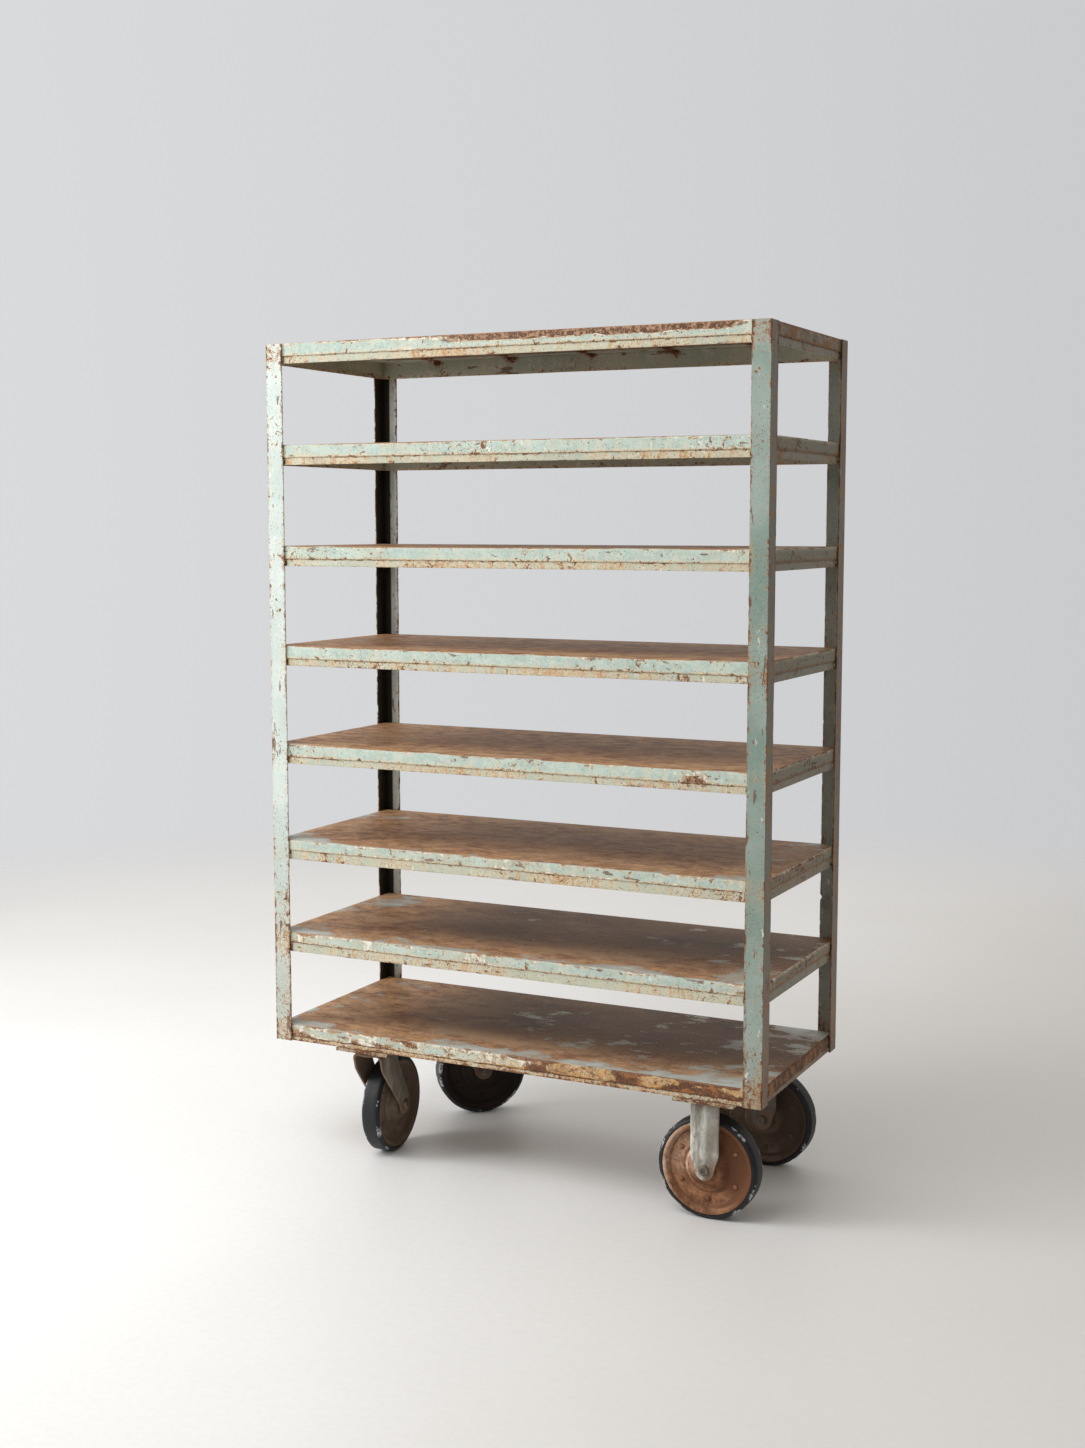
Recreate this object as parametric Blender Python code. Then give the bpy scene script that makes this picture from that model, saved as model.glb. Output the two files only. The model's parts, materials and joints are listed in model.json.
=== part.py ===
"""Steel shelf truck: eight sheet-metal decks in angle-iron frames, four corner uprights,
two swivel casters at the left end and two rigid casters at the right end.

Metres, +Z up.  The origin is on the floor, under the middle of the whole truck as it stands
with its rear left caster trailing out behind the rack.  +X runs along the rack towards the
rigid casters and -Y is the front.
"""

import math

import bmesh
import bpy
from mathutils import Vector

# Rack
LENGTH = 1.0876
DEPTH = 0.4572
FRAME_BOTTOM = 0.2470
UPRIGHT_LENGTH = 1.4532
UPRIGHT_LEG = 0.0380
UPRIGHT_THICKNESS = 0.0032
GAP = 0.0003

# Shelves, from the bottom one up: height of each deck above the frame's bottom, and how far
# its folded flange reaches down
DECK_HEIGHTS = (0.0350, 0.2340, 0.4310, 0.6335, 0.8380, 1.0435, 1.2500, 1.4545)
FLANGE_DEPTHS = (0.0245, 0.0215, 0.0215, 0.0265, 0.0265, 0.0265, 0.0265, 0.0265)
DECK_SHEET = 0.0016
DECK_FOLD_RADIUS = 0.0040
SHELF_LIP = 0.0412
RAIL_LEG = 0.0380
RAIL_THICKNESS = 0.0032
CROSS_BAR_LEG = 0.0250
CROSS_BAR_SPREAD = 0.0460

# Casters
CASTER_INSET = 0.0631
SWIVEL_FROM_LEFT = 0.2105
RIGID_FROM_RIGHT = 0.1250
RIGID_PLATE_SHIFT = 0.0060
PLATE_SIZE = 0.1240
PLATE_THICKNESS = 0.0064
RACE_HEIGHT = 0.0040
RACE_RADII = (0.0200, 0.0430)
RACE_SEGMENTS = 32
FORK_SHEET = 0.0055
FORK_HALF_GAP = 0.0285
FORK_BEND = 0.0080
FORK_CREASE = 0.0030
FORK_END_RADIUS = 0.0200
CROWN_BULGE = 0.0060
RIGID_FORK_WIDTH = 0.0580
TRAIL = 0.0630
FRONT_SWIVEL_DEG = 93.5
REAR_SWIVEL_DEG = 43.0
KINGPIN_RADIUS = 0.0085
KINGPIN_HOLE_RADIUS = 0.0092
KINGPIN_HEAD = (0.0150, 0.0080)
KINGPIN_NUT = (0.0135, 0.0100)
EDGE_CHAMFER = 0.0015

# Wheels
WHEEL_RADIUS = 0.1018
TREAD_HALF_WIDTH = 0.0165
TYRE_SEGMENTS = 36
DISC_SEGMENTS = 24
DISC_SHEET = 0.0030
DISC_WEB = 0.0095
AXLE_RADIUS = 0.0060
AXLE_HOLE_RADIUS = 0.0066
AXLE_HEAD = (0.0100, 0.0050)
AXLE_CUP = (0.0044, 0.0022)
NUT_RADIUS = 0.0120
NUT_HEIGHT = 0.0085
SLEEVE_RADII = (0.0064, 0.0110)
RIVET_COUNT = 6
RIVET_CIRCLE = 0.0640
RIVET_RADIUS = 0.0054
RIVET_HEIGHT = 0.0028

PAINT = (0.38, 0.50, 0.44)
RUST = (0.24, 0.13, 0.08)
CASTER_GREY = (0.36, 0.35, 0.31)
DARK_STEEL = (0.12, 0.09, 0.07)
WHEEL_RUST = (0.33, 0.16, 0.08)
RUBBER = (0.03, 0.03, 0.035)


def clear_scene():
    for item in list(bpy.data.objects):
        bpy.data.objects.remove(item)


def material_for(name, color, roughness, metallic):
    material = bpy.data.materials.new(name)
    material.use_nodes = True
    shader = material.node_tree.nodes["Principled BSDF"]
    shader.inputs["Base Color"].default_value = (*color, 1.0)
    shader.inputs["Roughness"].default_value = roughness
    shader.inputs["Metallic"].default_value = metallic
    return material


def add_object(name, bm, color, parent, roughness=0.6, metallic=0.6, smooth=False):
    """Turn a bmesh into a named object with its own material."""
    bmesh.ops.recalc_face_normals(bm, faces=bm.faces)
    mesh = bpy.data.meshes.new(name)
    bm.to_mesh(mesh)
    bm.free()
    mesh.materials.append(material_for(name, color, roughness, metallic))
    if smooth:
        mesh.shade_smooth()
        mesh.set_sharp_from_angle(angle=math.radians(35))
    item = bpy.data.objects.new(name, mesh)
    item.parent = parent
    bpy.context.collection.objects.link(item)
    return item


def add_axis(name, location, parent=None, turn=0.0):
    """Empty on a joint's axis, which carries the pieces that move about it."""
    empty = bpy.data.objects.new(name, None)
    empty.location = location
    empty.rotation_euler = (0.0, 0.0, turn)
    empty.parent = parent
    bpy.context.collection.objects.link(empty)
    return empty


def skin_loops(bm, loops, closed):
    """Join rows of points, each row a ring, with quads; cap both ends unless closed."""
    rings = [[bm.verts.new(point) for point in loop] for loop in loops]
    count = len(rings[0])
    pairs = list(zip(rings, rings[1:]))
    if closed:
        pairs.append((rings[-1], rings[0]))
    for lower, upper in pairs:
        for i in range(count):
            j = (i + 1) % count
            bm.faces.new((lower[i], lower[j], upper[j], upper[i]))
    if not closed:
        bm.faces.new(rings[0])
        bm.faces.new(rings[-1])


def rectangle(half_x, half_y, z):
    corners = ((1, 1), (-1, 1), (-1, -1), (1, -1))
    return [(sx * half_x, sy * half_y, z) for sx, sy in corners]


def turned(profile, segments, axis="Z", closed=True, phase=0.0, centre=(0.0, 0.0, 0.0)):
    """Body of revolution from (radius, height) points about the local Y or Z axis."""
    loops = []
    for radius, height in profile:
        ring = []
        for i in range(segments):
            angle = phase + 2 * math.pi * i / segments
            across, up = radius * math.cos(angle), radius * math.sin(angle)
            point = (across, up, height) if axis == "Z" else (across, height, up)
            ring.append(Vector(point) + Vector(centre))
        loops.append(ring)
    bm = bmesh.new()
    skin_loops(bm, loops, closed)
    return bm


def cut(item, cutters):
    """Drill each cutter out of an object."""
    for cutter in cutters:
        cutter.hide_render = True
        cutter.display_type = "WIRE"
        modifier = item.modifiers.new("cut_" + cutter.name, "BOOLEAN")
        modifier.object = cutter
        modifier.operation = "DIFFERENCE"


def drill(name, radius, low, high, axis, parent, centre=(0.0, 0.0, 0.0), segments=16):
    bm = turned(((radius, low), (radius, high)), segments, axis, closed=False, centre=centre)
    return add_object(name, bm, DARK_STEEL, parent)


def add_upright(name, rack, side_x, side_y):
    """Angle iron whose two legs wrap the outside of the rack's corner."""
    x0, y0 = side_x * LENGTH / 2, side_y * DEPTH / 2
    outline = (
        (0.0, 0.0), (UPRIGHT_LEG, 0.0), (UPRIGHT_LEG, UPRIGHT_THICKNESS),
        (UPRIGHT_THICKNESS, UPRIGHT_THICKNESS), (UPRIGHT_THICKNESS, UPRIGHT_LEG), (0.0, UPRIGHT_LEG),
    )
    heights = (FRAME_BOTTOM, FRAME_BOTTOM + UPRIGHT_LENGTH)
    loops = [[(x0 - side_x * u, y0 - side_y * v, z) for u, v in outline] for z in heights]
    bm = bmesh.new()
    skin_loops(bm, loops, closed=False)
    add_object(name, bm, PAINT, rack)


def add_deck(name, rack, top, flange):
    """Sheet-steel tray turned upside down, with a rounded fold along its four edges."""
    half_x = LENGTH / 2 - UPRIGHT_THICKNESS - GAP
    half_y = DEPTH / 2 - UPRIGHT_THICKNESS - GAP
    loops = [rectangle(half_x, half_y, top - flange)]
    for degrees in (0, 30, 60, 90):
        inset = DECK_FOLD_RADIUS * (1 - math.cos(math.radians(degrees)))
        drop = DECK_FOLD_RADIUS * (1 - math.sin(math.radians(degrees)))
        loops.append(rectangle(half_x - inset, half_y - inset, top - drop))
    inner = [
        rectangle(half_x - DECK_SHEET, half_y - DECK_SHEET, top - flange),
        rectangle(half_x - DECK_SHEET, half_y - DECK_SHEET, top - DECK_FOLD_RADIUS),
        rectangle(half_x - DECK_FOLD_RADIUS, half_y - DECK_FOLD_RADIUS, top - DECK_SHEET),
    ]
    bm = bmesh.new()
    skin_loops(bm, inner[::-1] + loops, closed=False)
    add_object(name, bm, RUST, rack, roughness=0.8, metallic=0.3)


def add_shelf_frame(name, rack, top, bottom, leg_at_top):
    """Ring of angle iron that carries one deck."""
    half_x = LENGTH / 2 - UPRIGHT_THICKNESS - DECK_SHEET - 2 * GAP
    half_y = DEPTH / 2 - UPRIGHT_THICKNESS - DECK_SHEET - 2 * GAP
    chamfer = DECK_FOLD_RADIUS - DECK_SHEET
    level, step = (top, -RAIL_THICKNESS) if leg_at_top else (bottom, RAIL_THICKNESS)
    far = bottom if leg_at_top else top
    relief = chamfer if leg_at_top else 0.0
    section = (
        (0.0, level - relief), (relief, level), (RAIL_LEG, level), (RAIL_LEG, level + step),
        (RAIL_THICKNESS, level + step), (RAIL_THICKNESS, far), (chamfer - relief, far),
        (0.0, far + (relief - chamfer)),
    )
    loops = [rectangle(half_x - inset, half_y - inset, z) for inset, z in section]
    bm = bmesh.new()
    skin_loops(bm, loops, closed=True)
    bmesh.ops.remove_doubles(bm, verts=bm.verts, dist=GAP / 10)
    add_object(name, bm, PAINT, rack)


def add_cross_bars(rack):
    """Angle bars across the bottom frame, one on each side of a pair of caster plates."""
    reach = DEPTH / 2 - UPRIGHT_THICKNESS - DECK_SHEET - RAIL_LEG - 3 * GAP
    web = RAIL_THICKNESS
    outline = (
        (0.0, 0.0), (CROSS_BAR_LEG, 0.0), (CROSS_BAR_LEG, web), (web, web),
        (web, CROSS_BAR_LEG), (0.0, CROSS_BAR_LEG),
    )
    places = (("left", SWIVEL_FROM_LEFT - LENGTH / 2), ("right", LENGTH / 2 - RIGID_FROM_RIGHT))
    for end, centre in places:
        for number, side in enumerate((-1, 1), start=1):
            start = centre + side * CROSS_BAR_SPREAD
            loops = []
            for y in (-reach, reach):
                loops.append([(start - side * u, y, FRAME_BOTTOM + v) for u, v in outline])
            bm = bmesh.new()
            skin_loops(bm, loops, closed=False)
            add_object("cross_bar_%s_%d" % (end, number), bm, PAINT, rack)


def add_caster_plate(name, parent, shift, kingpin_hole):
    top = FRAME_BOTTOM - GAP
    loops = []
    for z in (top - PLATE_THICKNESS, top):
        loops.append([(shift + x, y, z) for x, y, _ in rectangle(PLATE_SIZE / 2, PLATE_SIZE / 2, z)])
    bm = bmesh.new()
    skin_loops(bm, loops, closed=False)
    plate = add_object(name, bm, WHEEL_RUST, parent)
    if kingpin_hole:
        span = (top - 2 * PLATE_THICKNESS, top + PLATE_THICKNESS)
        cut(plate, [drill(name + "_hole", KINGPIN_HOLE_RADIUS, *span, "Z", parent)])


def swivel_crown_bottom():
    return FRAME_BOTTOM - PLATE_THICKNESS - RACE_HEIGHT - FORK_SHEET - 3 * GAP


def rigid_crown_bottom():
    return FRAME_BOTTOM - PLATE_THICKNESS - FORK_SHEET - 2 * GAP


def add_race(name, parent):
    """Ball race between the plate and the fork's crown."""
    top = FRAME_BOTTOM - PLATE_THICKNESS - 2 * GAP
    inner, outer = RACE_RADII
    groove = RACE_HEIGHT / 4
    profile = (
        (inner, top), (inner, top - RACE_HEIGHT), (outer, top - RACE_HEIGHT),
        (outer - groove, top - RACE_HEIGHT / 2), (outer, top),
    )
    add_object(name, turned(profile, RACE_SEGMENTS), DARK_STEEL, parent, smooth=True)


def add_kingpin(name, parent):
    """Pin through the plate and the crown, with its head on the plate and its nut below."""
    plate_top = FRAME_BOTTOM
    head_radius, head_height = KINGPIN_HEAD
    nut_radius, nut_height = KINGPIN_NUT
    nut_top = swivel_crown_bottom() - GAP
    chamfer = EDGE_CHAMFER
    profile = (
        (nut_radius - chamfer, nut_top - nut_height), (nut_radius, nut_top - nut_height + chamfer),
        (nut_radius, nut_top), (KINGPIN_RADIUS, nut_top), (KINGPIN_RADIUS, plate_top),
        (head_radius, plate_top), (head_radius, plate_top + head_height - chamfer),
        (head_radius - chamfer, plate_top + head_height),
    )
    bm = turned(profile, 16, closed=False)
    add_object(name, bm, DARK_STEEL, parent, smooth=True)


def along(points, z):
    """Straight-line reading of x at height z from (z, x) points that run downwards."""
    for (z1, x1), (z2, x2) in zip(points, points[1:]):
        if z >= z2:
            share = (z1 - z) / (z1 - z2)
            return x1 + share * (x2 - x1)
    return points[-1][1]


def round_end(z, axle_x):
    """Front and back edge of a leg below its axle, where it is a half disc."""
    half = math.sqrt(max(FORK_END_RADIUS ** 2 - (WHEEL_RADIUS - z) ** 2, 0.0))
    return axle_x - half, axle_x + half


def swivel_leg_edges(z):
    """Front and back edge of the trailing leg: wide at the crown, round at the axle."""
    if z < WHEEL_RADIUS:
        return round_end(z, TRAIL)
    front = ((0.2300, -0.0460), (0.1990, -0.0370), (0.1740, -0.0170), (0.1390, 0.0130),
             (WHEEL_RADIUS, TRAIL - FORK_END_RADIUS))
    back = ((0.2300, 0.0300), (0.2090, 0.0320), (0.1710, 0.0524), (0.1300, 0.0767),
            (WHEEL_RADIUS, TRAIL + FORK_END_RADIUS))
    return along(front, z), along(back, z)


def rigid_leg_edges(z):
    """Edges of the straight leg: parallel, then tapered to a round end at the axle."""
    if z < WHEEL_RADIUS:
        return round_end(z, 0.0)
    widths = ((0.2400, RIGID_FORK_WIDTH / 2), (0.1300, RIGID_FORK_WIDTH / 2),
              (WHEEL_RADIUS, FORK_END_RADIUS))
    half = along(widths, z)
    return -half, half


def fork_stations(crown_bottom, leg_edges, crown_half):
    """Rows across the bent strip, from one leg's end over the crown to the other leg's end.

    Each row gives its inside point (y, z), its outward direction (y, z), its two edges in x
    and how much of the pressed crease it carries.
    """
    bend_z = crown_bottom - FORK_BEND
    rows = []
    for degrees in (15, 45, 80):
        z = WHEEL_RADIUS - FORK_END_RADIUS * math.cos(math.radians(degrees))
        rows.append((FORK_HALF_GAP, z, 1.0, 0.0, leg_edges(z), 0.0))
    crease_start = WHEEL_RADIUS + 0.7 * FORK_END_RADIUS
    for share in (0.0, 0.12, 0.3, 0.6, 0.85):
        z = crease_start + share * (bend_z - crease_start)
        rows.append((FORK_HALF_GAP, z, 1.0, 0.0, leg_edges(z), 1.0 if share else 0.0))
    for degrees in (0, 30, 60, 90):
        turn = math.radians(degrees)
        y = FORK_HALF_GAP - FORK_BEND + FORK_BEND * math.cos(turn)
        z = bend_z + FORK_BEND * math.sin(turn)
        front, back = leg_edges(z)
        rows.append((y, z, math.cos(turn), math.sin(turn), (front, back), 1.0 - degrees / 90))
    front, back = leg_edges(crown_bottom)
    rows.append((0.0, crown_bottom, 0.0, 1.0, (front - crown_half, back + crown_half), 0.0))
    mirrored = [(-y, z, -ny, nz, edges, crease) for y, z, ny, nz, edges, crease in rows[-2::-1]]
    return rows + mirrored


def add_fork(name, parent, crown_bottom, leg_edges, crown_half, axle_x, kingpin_hole):
    """Fork pressed from one strip: two legs with a raised centre line and a flat crown."""
    columns = ((0.0, 0.0), (0.12, 0.0), (0.5, 1.0), (0.88, 0.0), (1.0, 0.0))
    loops = []
    for y, z, ny, nz, (front, back), crease in fork_stations(crown_bottom, leg_edges, crown_half):
        inside, outside = [], []
        for share, ridge in columns:
            x = front + share * (back - front)
            lift = FORK_CREASE * ridge * crease
            inside.append((x, y + ny * lift, z + nz * lift))
            reach = lift + FORK_SHEET
            outside.append((x, y + ny * reach, z + nz * reach))
        loops.append(inside + outside[::-1])
    bm = bmesh.new()
    skin_loops(bm, loops, closed=False)
    fork = add_object(name, bm, CASTER_GREY, parent)
    reach = FORK_HALF_GAP + 2 * FORK_SHEET
    centre = (axle_x, 0.0, WHEEL_RADIUS)
    cutters = [drill(name + "_axle_hole", AXLE_HOLE_RADIUS, -reach, reach, "Y", parent, centre)]
    if kingpin_hole:
        span = (crown_bottom - FORK_SHEET, crown_bottom + 2 * FORK_SHEET)
        cutters.append(drill(name + "_pin_hole", KINGPIN_HOLE_RADIUS, *span, "Z", parent))
    cut(fork, cutters)


def add_axle(prefix, parent, axle_x):
    """Axle bolt with a cupped round head, and its hexagon nut on the other leg."""
    centre = (axle_x, 0.0, WHEEL_RADIUS)
    face = FORK_HALF_GAP + FORK_SHEET + GAP
    head_radius, head_height = AXLE_HEAD
    cup_radius, cup_depth = AXLE_CUP
    head_end = -face - head_height
    head = (
        (AXLE_RADIUS, face + NUT_HEIGHT + EDGE_CHAMFER), (AXLE_RADIUS, -face), (head_radius, -face),
        (head_radius, head_end + EDGE_CHAMFER), (head_radius - EDGE_CHAMFER, head_end),
        (cup_radius, head_end), (cup_radius, head_end + cup_depth),
    )
    bolt = turned(head, 16, "Y", closed=False, centre=centre)
    add_object(prefix + "_axle_bolt", bolt, DARK_STEEL, parent, smooth=True)
    bore = AXLE_RADIUS + GAP
    nut = (
        (bore, face), (bore, face + NUT_HEIGHT), (NUT_RADIUS - EDGE_CHAMFER, face + NUT_HEIGHT),
        (NUT_RADIUS, face + NUT_HEIGHT - EDGE_CHAMFER), (NUT_RADIUS, face),
    )
    bm = turned(nut, 12, "Y", centre=centre)
    for vert in bm.verts:
        flat_nut_side(vert, centre)
    add_object(prefix + "_axle_nut", bm, DARK_STEEL, parent)


def flat_nut_side(vert, centre):
    """Pull every second point of a twelve-sided ring onto the flats of a hexagon."""
    dx, dz = vert.co.x - centre[0], vert.co.z - centre[2]
    radius = math.hypot(dx, dz)
    step = round(math.degrees(math.atan2(dz, dx)) / 30)
    if radius > (AXLE_RADIUS + NUT_RADIUS) / 2 and step % 2:
        shrink = math.cos(math.radians(30))
        vert.co.x = centre[0] + dx * shrink
        vert.co.z = centre[2] + dz * shrink


def rivet_centres():
    for i in range(RIVET_COUNT):
        angle = 2 * math.pi * (i + 0.5) / RIVET_COUNT
        yield RIVET_CIRCLE * math.cos(angle), RIVET_CIRCLE * math.sin(angle)


def add_disc(name, axis, side):
    """Pressed wheel disc: raised hub, recessed web with its rivet heads, and flared rim."""
    outer = ((0.0116, 0.0255), (0.0290, 0.0255), (0.0440, 0.0105), (0.0720, DISC_WEB),
             (0.0860, 0.0195), (0.0918, 0.0205))
    inner = [(radius, height - DISC_SHEET) for radius, height in outer]
    profile = [(radius, side * height) for radius, height in list(outer) + inner[::-1]]
    disc = add_object(name, turned(profile, DISC_SEGMENTS, "Y"), WHEEL_RUST, axis, smooth=True)
    heads = add_rivet_heads(name + "_rivet_heads", axis, side)
    heads.hide_render = True
    heads.display_type = "WIRE"
    modifier = disc.modifiers.new("rivets", "BOOLEAN")
    modifier.object = heads
    modifier.operation = "UNION"


def add_rivet_heads(name, axis, side):
    """Ring of low rivet heads, rooted in the middle of the web's sheet."""
    root = DISC_WEB - DISC_SHEET / 2
    top = DISC_WEB + RIVET_HEIGHT
    profile = ((RIVET_RADIUS, root), (RIVET_RADIUS, top - RIVET_HEIGHT / 2), (RIVET_RADIUS / 2, top))
    profile = [(radius, side * height) for radius, height in profile]
    group = bmesh.new()
    scratch = bpy.data.meshes.new("scratch")
    for x, z in rivet_centres():
        head = turned(profile, 8, "Y", closed=False, centre=(x, 0.0, z))
        head.to_mesh(scratch)
        head.free()
        group.from_mesh(scratch)
    bpy.data.meshes.remove(scratch)
    return add_object(name, group, WHEEL_RUST, axis)


def add_tyre(name, axis):
    """Solid tyre with a flat tread and bevelled shoulders, one flat facet on the floor."""
    tread = WHEEL_RADIUS / math.cos(math.pi / TYRE_SEGMENTS)
    half = ((0.0758, 0.0055), (0.0858, 0.0155), (0.0926, 0.0165), (0.0926, 0.0212),
            (tread, TREAD_HALF_WIDTH))
    profile = list(half) + [(radius, -width) for radius, width in half[::-1]]
    phase = -math.pi / 2 + math.pi / TYRE_SEGMENTS
    bm = turned(profile, TYRE_SEGMENTS, "Y", phase=phase)
    add_object(name, bm, RUBBER, axis, roughness=0.85, metallic=0.0, smooth=True)


def add_sleeve(name, axis):
    """Hub sleeve that turns on the axle bolt and carries both discs."""
    inner, outer = SLEEVE_RADII
    half = FORK_HALF_GAP - GAP
    profile = ((inner, -half), (outer, -half), (outer, half), (inner, half))
    add_object(name, turned(profile, 20, "Y"), DARK_STEEL, axis, smooth=True)


def add_wheel(prefix, parent, axle_x):
    axis = add_axis(prefix + "_wheel_axis", (axle_x, 0.0, WHEEL_RADIUS), parent)
    add_sleeve(prefix + "_wheel_sleeve", axis)
    add_disc(prefix + "_wheel_outer_disc", axis, side=-1)
    add_disc(prefix + "_wheel_inner_disc", axis, side=1)
    add_tyre(prefix + "_tyre", axis)


def add_swivel_caster(prefix, rack, side_y, turn_degrees):
    x = SWIVEL_FROM_LEFT - LENGTH / 2
    y = side_y * (DEPTH / 2 - CASTER_INSET)
    base = add_axis(prefix + "_caster_base", (x, y, 0.0), rack)
    add_caster_plate(prefix + "_caster_plate", base, 0.0, kingpin_hole=True)
    add_race(prefix + "_swivel_race", base)
    add_kingpin(prefix + "_kingpin", base)
    swivel = add_axis(prefix + "_swivel_axis", (x, y, 0.0), rack, math.radians(turn_degrees))
    add_fork(prefix + "_fork", swivel, swivel_crown_bottom(), swivel_leg_edges, CROWN_BULGE, TRAIL, True)
    add_axle(prefix, swivel, TRAIL)
    add_wheel(prefix, swivel, TRAIL)


def add_rigid_caster(prefix, rack, side_y):
    x = LENGTH / 2 - RIGID_FROM_RIGHT
    y = side_y * (DEPTH / 2 - CASTER_INSET)
    base = add_axis(prefix + "_caster_base", (x, y, 0.0), rack)
    add_caster_plate(prefix + "_caster_plate", base, RIGID_PLATE_SHIFT, kingpin_hole=False)
    add_fork(prefix + "_fork", base, rigid_crown_bottom(), rigid_leg_edges, 0.0, 0.0, False)
    add_axle(prefix, base, 0.0)
    add_wheel(prefix, base, 0.0)


def add_rack(rack):
    for end, side_x in (("left", -1), ("right", 1)):
        for face, side_y in (("front", -1), ("rear", 1)):
            add_upright("upright_%s_%s" % (face, end), rack, side_x, side_y)
    for number, (height, flange) in enumerate(zip(DECK_HEIGHTS, FLANGE_DEPTHS), start=1):
        top = FRAME_BOTTOM + height
        lowest = number == 1
        bottom = FRAME_BOTTOM if lowest else top - SHELF_LIP
        add_deck("deck_%d" % number, rack, top, flange)
        rail_top = top - DECK_SHEET - GAP
        add_shelf_frame("shelf_frame_%d" % number, rack, rail_top, bottom, leg_at_top=not lowest)
    add_cross_bars(rack)


def rack_centre_y():
    """Half of what the rear left wheel stands out behind the rack, towards the front."""
    turn = math.radians(REAR_SWIVEL_DEG)
    tread = WHEEL_RADIUS / math.cos(math.pi / TYRE_SEGMENTS)
    wheel_reach = (TRAIL + tread) * math.sin(turn) + TREAD_HALF_WIDTH * math.cos(turn)
    return -(wheel_reach - CASTER_INSET) / 2


clear_scene()
rack_axis = add_axis("rack_centre", (0.0, rack_centre_y(), 0.0))
add_rack(rack_axis)
add_swivel_caster("front_left", rack_axis, -1, FRONT_SWIVEL_DEG)
add_swivel_caster("rear_left", rack_axis, 1, REAR_SWIVEL_DEG)
add_rigid_caster("front_right", rack_axis, -1)
add_rigid_caster("rear_right", rack_axis, 1)
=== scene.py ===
"""Looks of the steel shelf truck: worn mint paint, rusted decks, disc wheels and hard rubber tyres."""

import json
import math

import bmesh
import bpy
from mathutils import Matrix, Vector, noise


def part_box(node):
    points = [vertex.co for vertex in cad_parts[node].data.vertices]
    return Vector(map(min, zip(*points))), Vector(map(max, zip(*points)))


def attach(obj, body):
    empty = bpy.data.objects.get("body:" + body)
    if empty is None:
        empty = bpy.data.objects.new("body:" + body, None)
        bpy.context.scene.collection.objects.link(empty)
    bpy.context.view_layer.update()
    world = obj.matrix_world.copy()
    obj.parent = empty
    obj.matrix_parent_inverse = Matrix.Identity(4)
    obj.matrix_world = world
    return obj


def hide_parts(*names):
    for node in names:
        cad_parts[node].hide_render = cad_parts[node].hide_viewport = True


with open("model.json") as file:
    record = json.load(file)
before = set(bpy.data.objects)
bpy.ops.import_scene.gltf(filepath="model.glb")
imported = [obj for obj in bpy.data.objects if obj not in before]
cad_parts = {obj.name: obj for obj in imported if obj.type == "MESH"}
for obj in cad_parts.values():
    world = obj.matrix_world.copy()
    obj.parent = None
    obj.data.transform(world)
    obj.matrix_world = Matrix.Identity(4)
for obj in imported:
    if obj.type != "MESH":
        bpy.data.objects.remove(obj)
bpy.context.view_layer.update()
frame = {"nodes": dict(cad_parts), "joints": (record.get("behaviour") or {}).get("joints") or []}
RACK_Y = (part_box("deck_8")[0].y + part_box("deck_8")[1].y) / 2
SHELVES = range(1, 9)

# Steel of the rack, in metres
ANGLE_THICKNESS = 0.0032
DECK_SHEET = 0.0016
FOLD_RADIUS = 0.0040
RAIL_LEG = 0.0380
WELD_RADIUS = 0.0022
WELD_SINK = 0.0006
WELD_PROUD = 0.0004
TACK_PITCH = 0.19

# Spacing of the rows of points along an upright, a deck's edge and a rail
UPRIGHT_STEP = 0.0060
DECK_STEP = 0.0100
RAIL_STEP = 0.0200

# Nicks in the rear right upright's edge: height above the floor, half width, depth
REAR_NOTCHES = ((0.566, 0.0060, 0.0050), (0.930, 0.0035, 0.0018), (0.690, 0.0030, 0.0015))

# Casters
CASTERS = ("front_left", "rear_left", "front_right", "rear_right")
SWIVELS = ("front_left", "rear_left")
TRAIL = 0.0630
FORK_SHEET = 0.0055
FORK_HALF_GAP = 0.0285
FORK_BEND = 0.0080
FORK_CREASE = 0.0030
FORK_END_RADIUS = 0.0200
CROWN_BULGE = 0.0060
FACE = FORK_HALF_GAP + FORK_SHEET + 0.0003
HEX_SEGMENTS = 48

# Wheel discs: rivets, and (radius, distance from the wheel's middle plane) of the outside face
RIVET_COUNT = 6
RIVET_CIRCLE = 0.0640
RIVET_RADIUS = 0.0054
RIVET_HEIGHT = 0.0026
DISC_SHEET = 0.0028
DISC_WEB = 0.0096
DISC_OUTSIDE = ((0.0116, 0.0255), (0.0270, 0.0255), (0.0315, 0.0240), (0.0425, 0.0122), (0.0450, 0.0104),
                (0.0470, 0.0098), (0.0700, DISC_WEB), (0.0760, 0.0112), (0.0850, 0.0186), (0.0880, 0.0200),
                (0.0917, 0.0205))

# Direction from the axle, in the wheel's own plane, of the side with painted shade on it; the opposite side
# gets painted light
SHADED_SIDE = math.radians(10)

# Ambient light: where most of it comes from, and its strength towards and away from there
AMBIENT_FROM = (-0.82, 0.16, 0.55)
AMBIENT_TOWARDS = 1.00
AMBIENT_AWAY = 0.03
# Backdrop strength at its left and right: painted light, brighter towards the left
BACKDROP_LEFT = 0.745
BACKDROP_RIGHT = 0.555

# Paint, rust and dirt
MINT_LIGHT = (0.51, 0.60, 0.53)
MINT_DEEP = (0.37, 0.45, 0.40)
CREAM = (0.66, 0.57, 0.40)
BLEACHED = (0.76, 0.77, 0.69)
OCHRE = (0.47, 0.22, 0.065)
RUST_BROWN = (0.150, 0.062, 0.030)
RUST_DARK = (0.052, 0.024, 0.015)
RUST_RED = (0.23, 0.095, 0.045)
DIRT = (0.105, 0.090, 0.065)


# ---------------------------------------------------------------- small helpers


def smooth(low, high, value):
    """0 at low, 1 at high, and a smooth change between; low may be the larger one."""
    share = min(max((value - low) / (high - low), 0.0), 1.0)
    return share * share * (3 - 2 * share)


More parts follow.
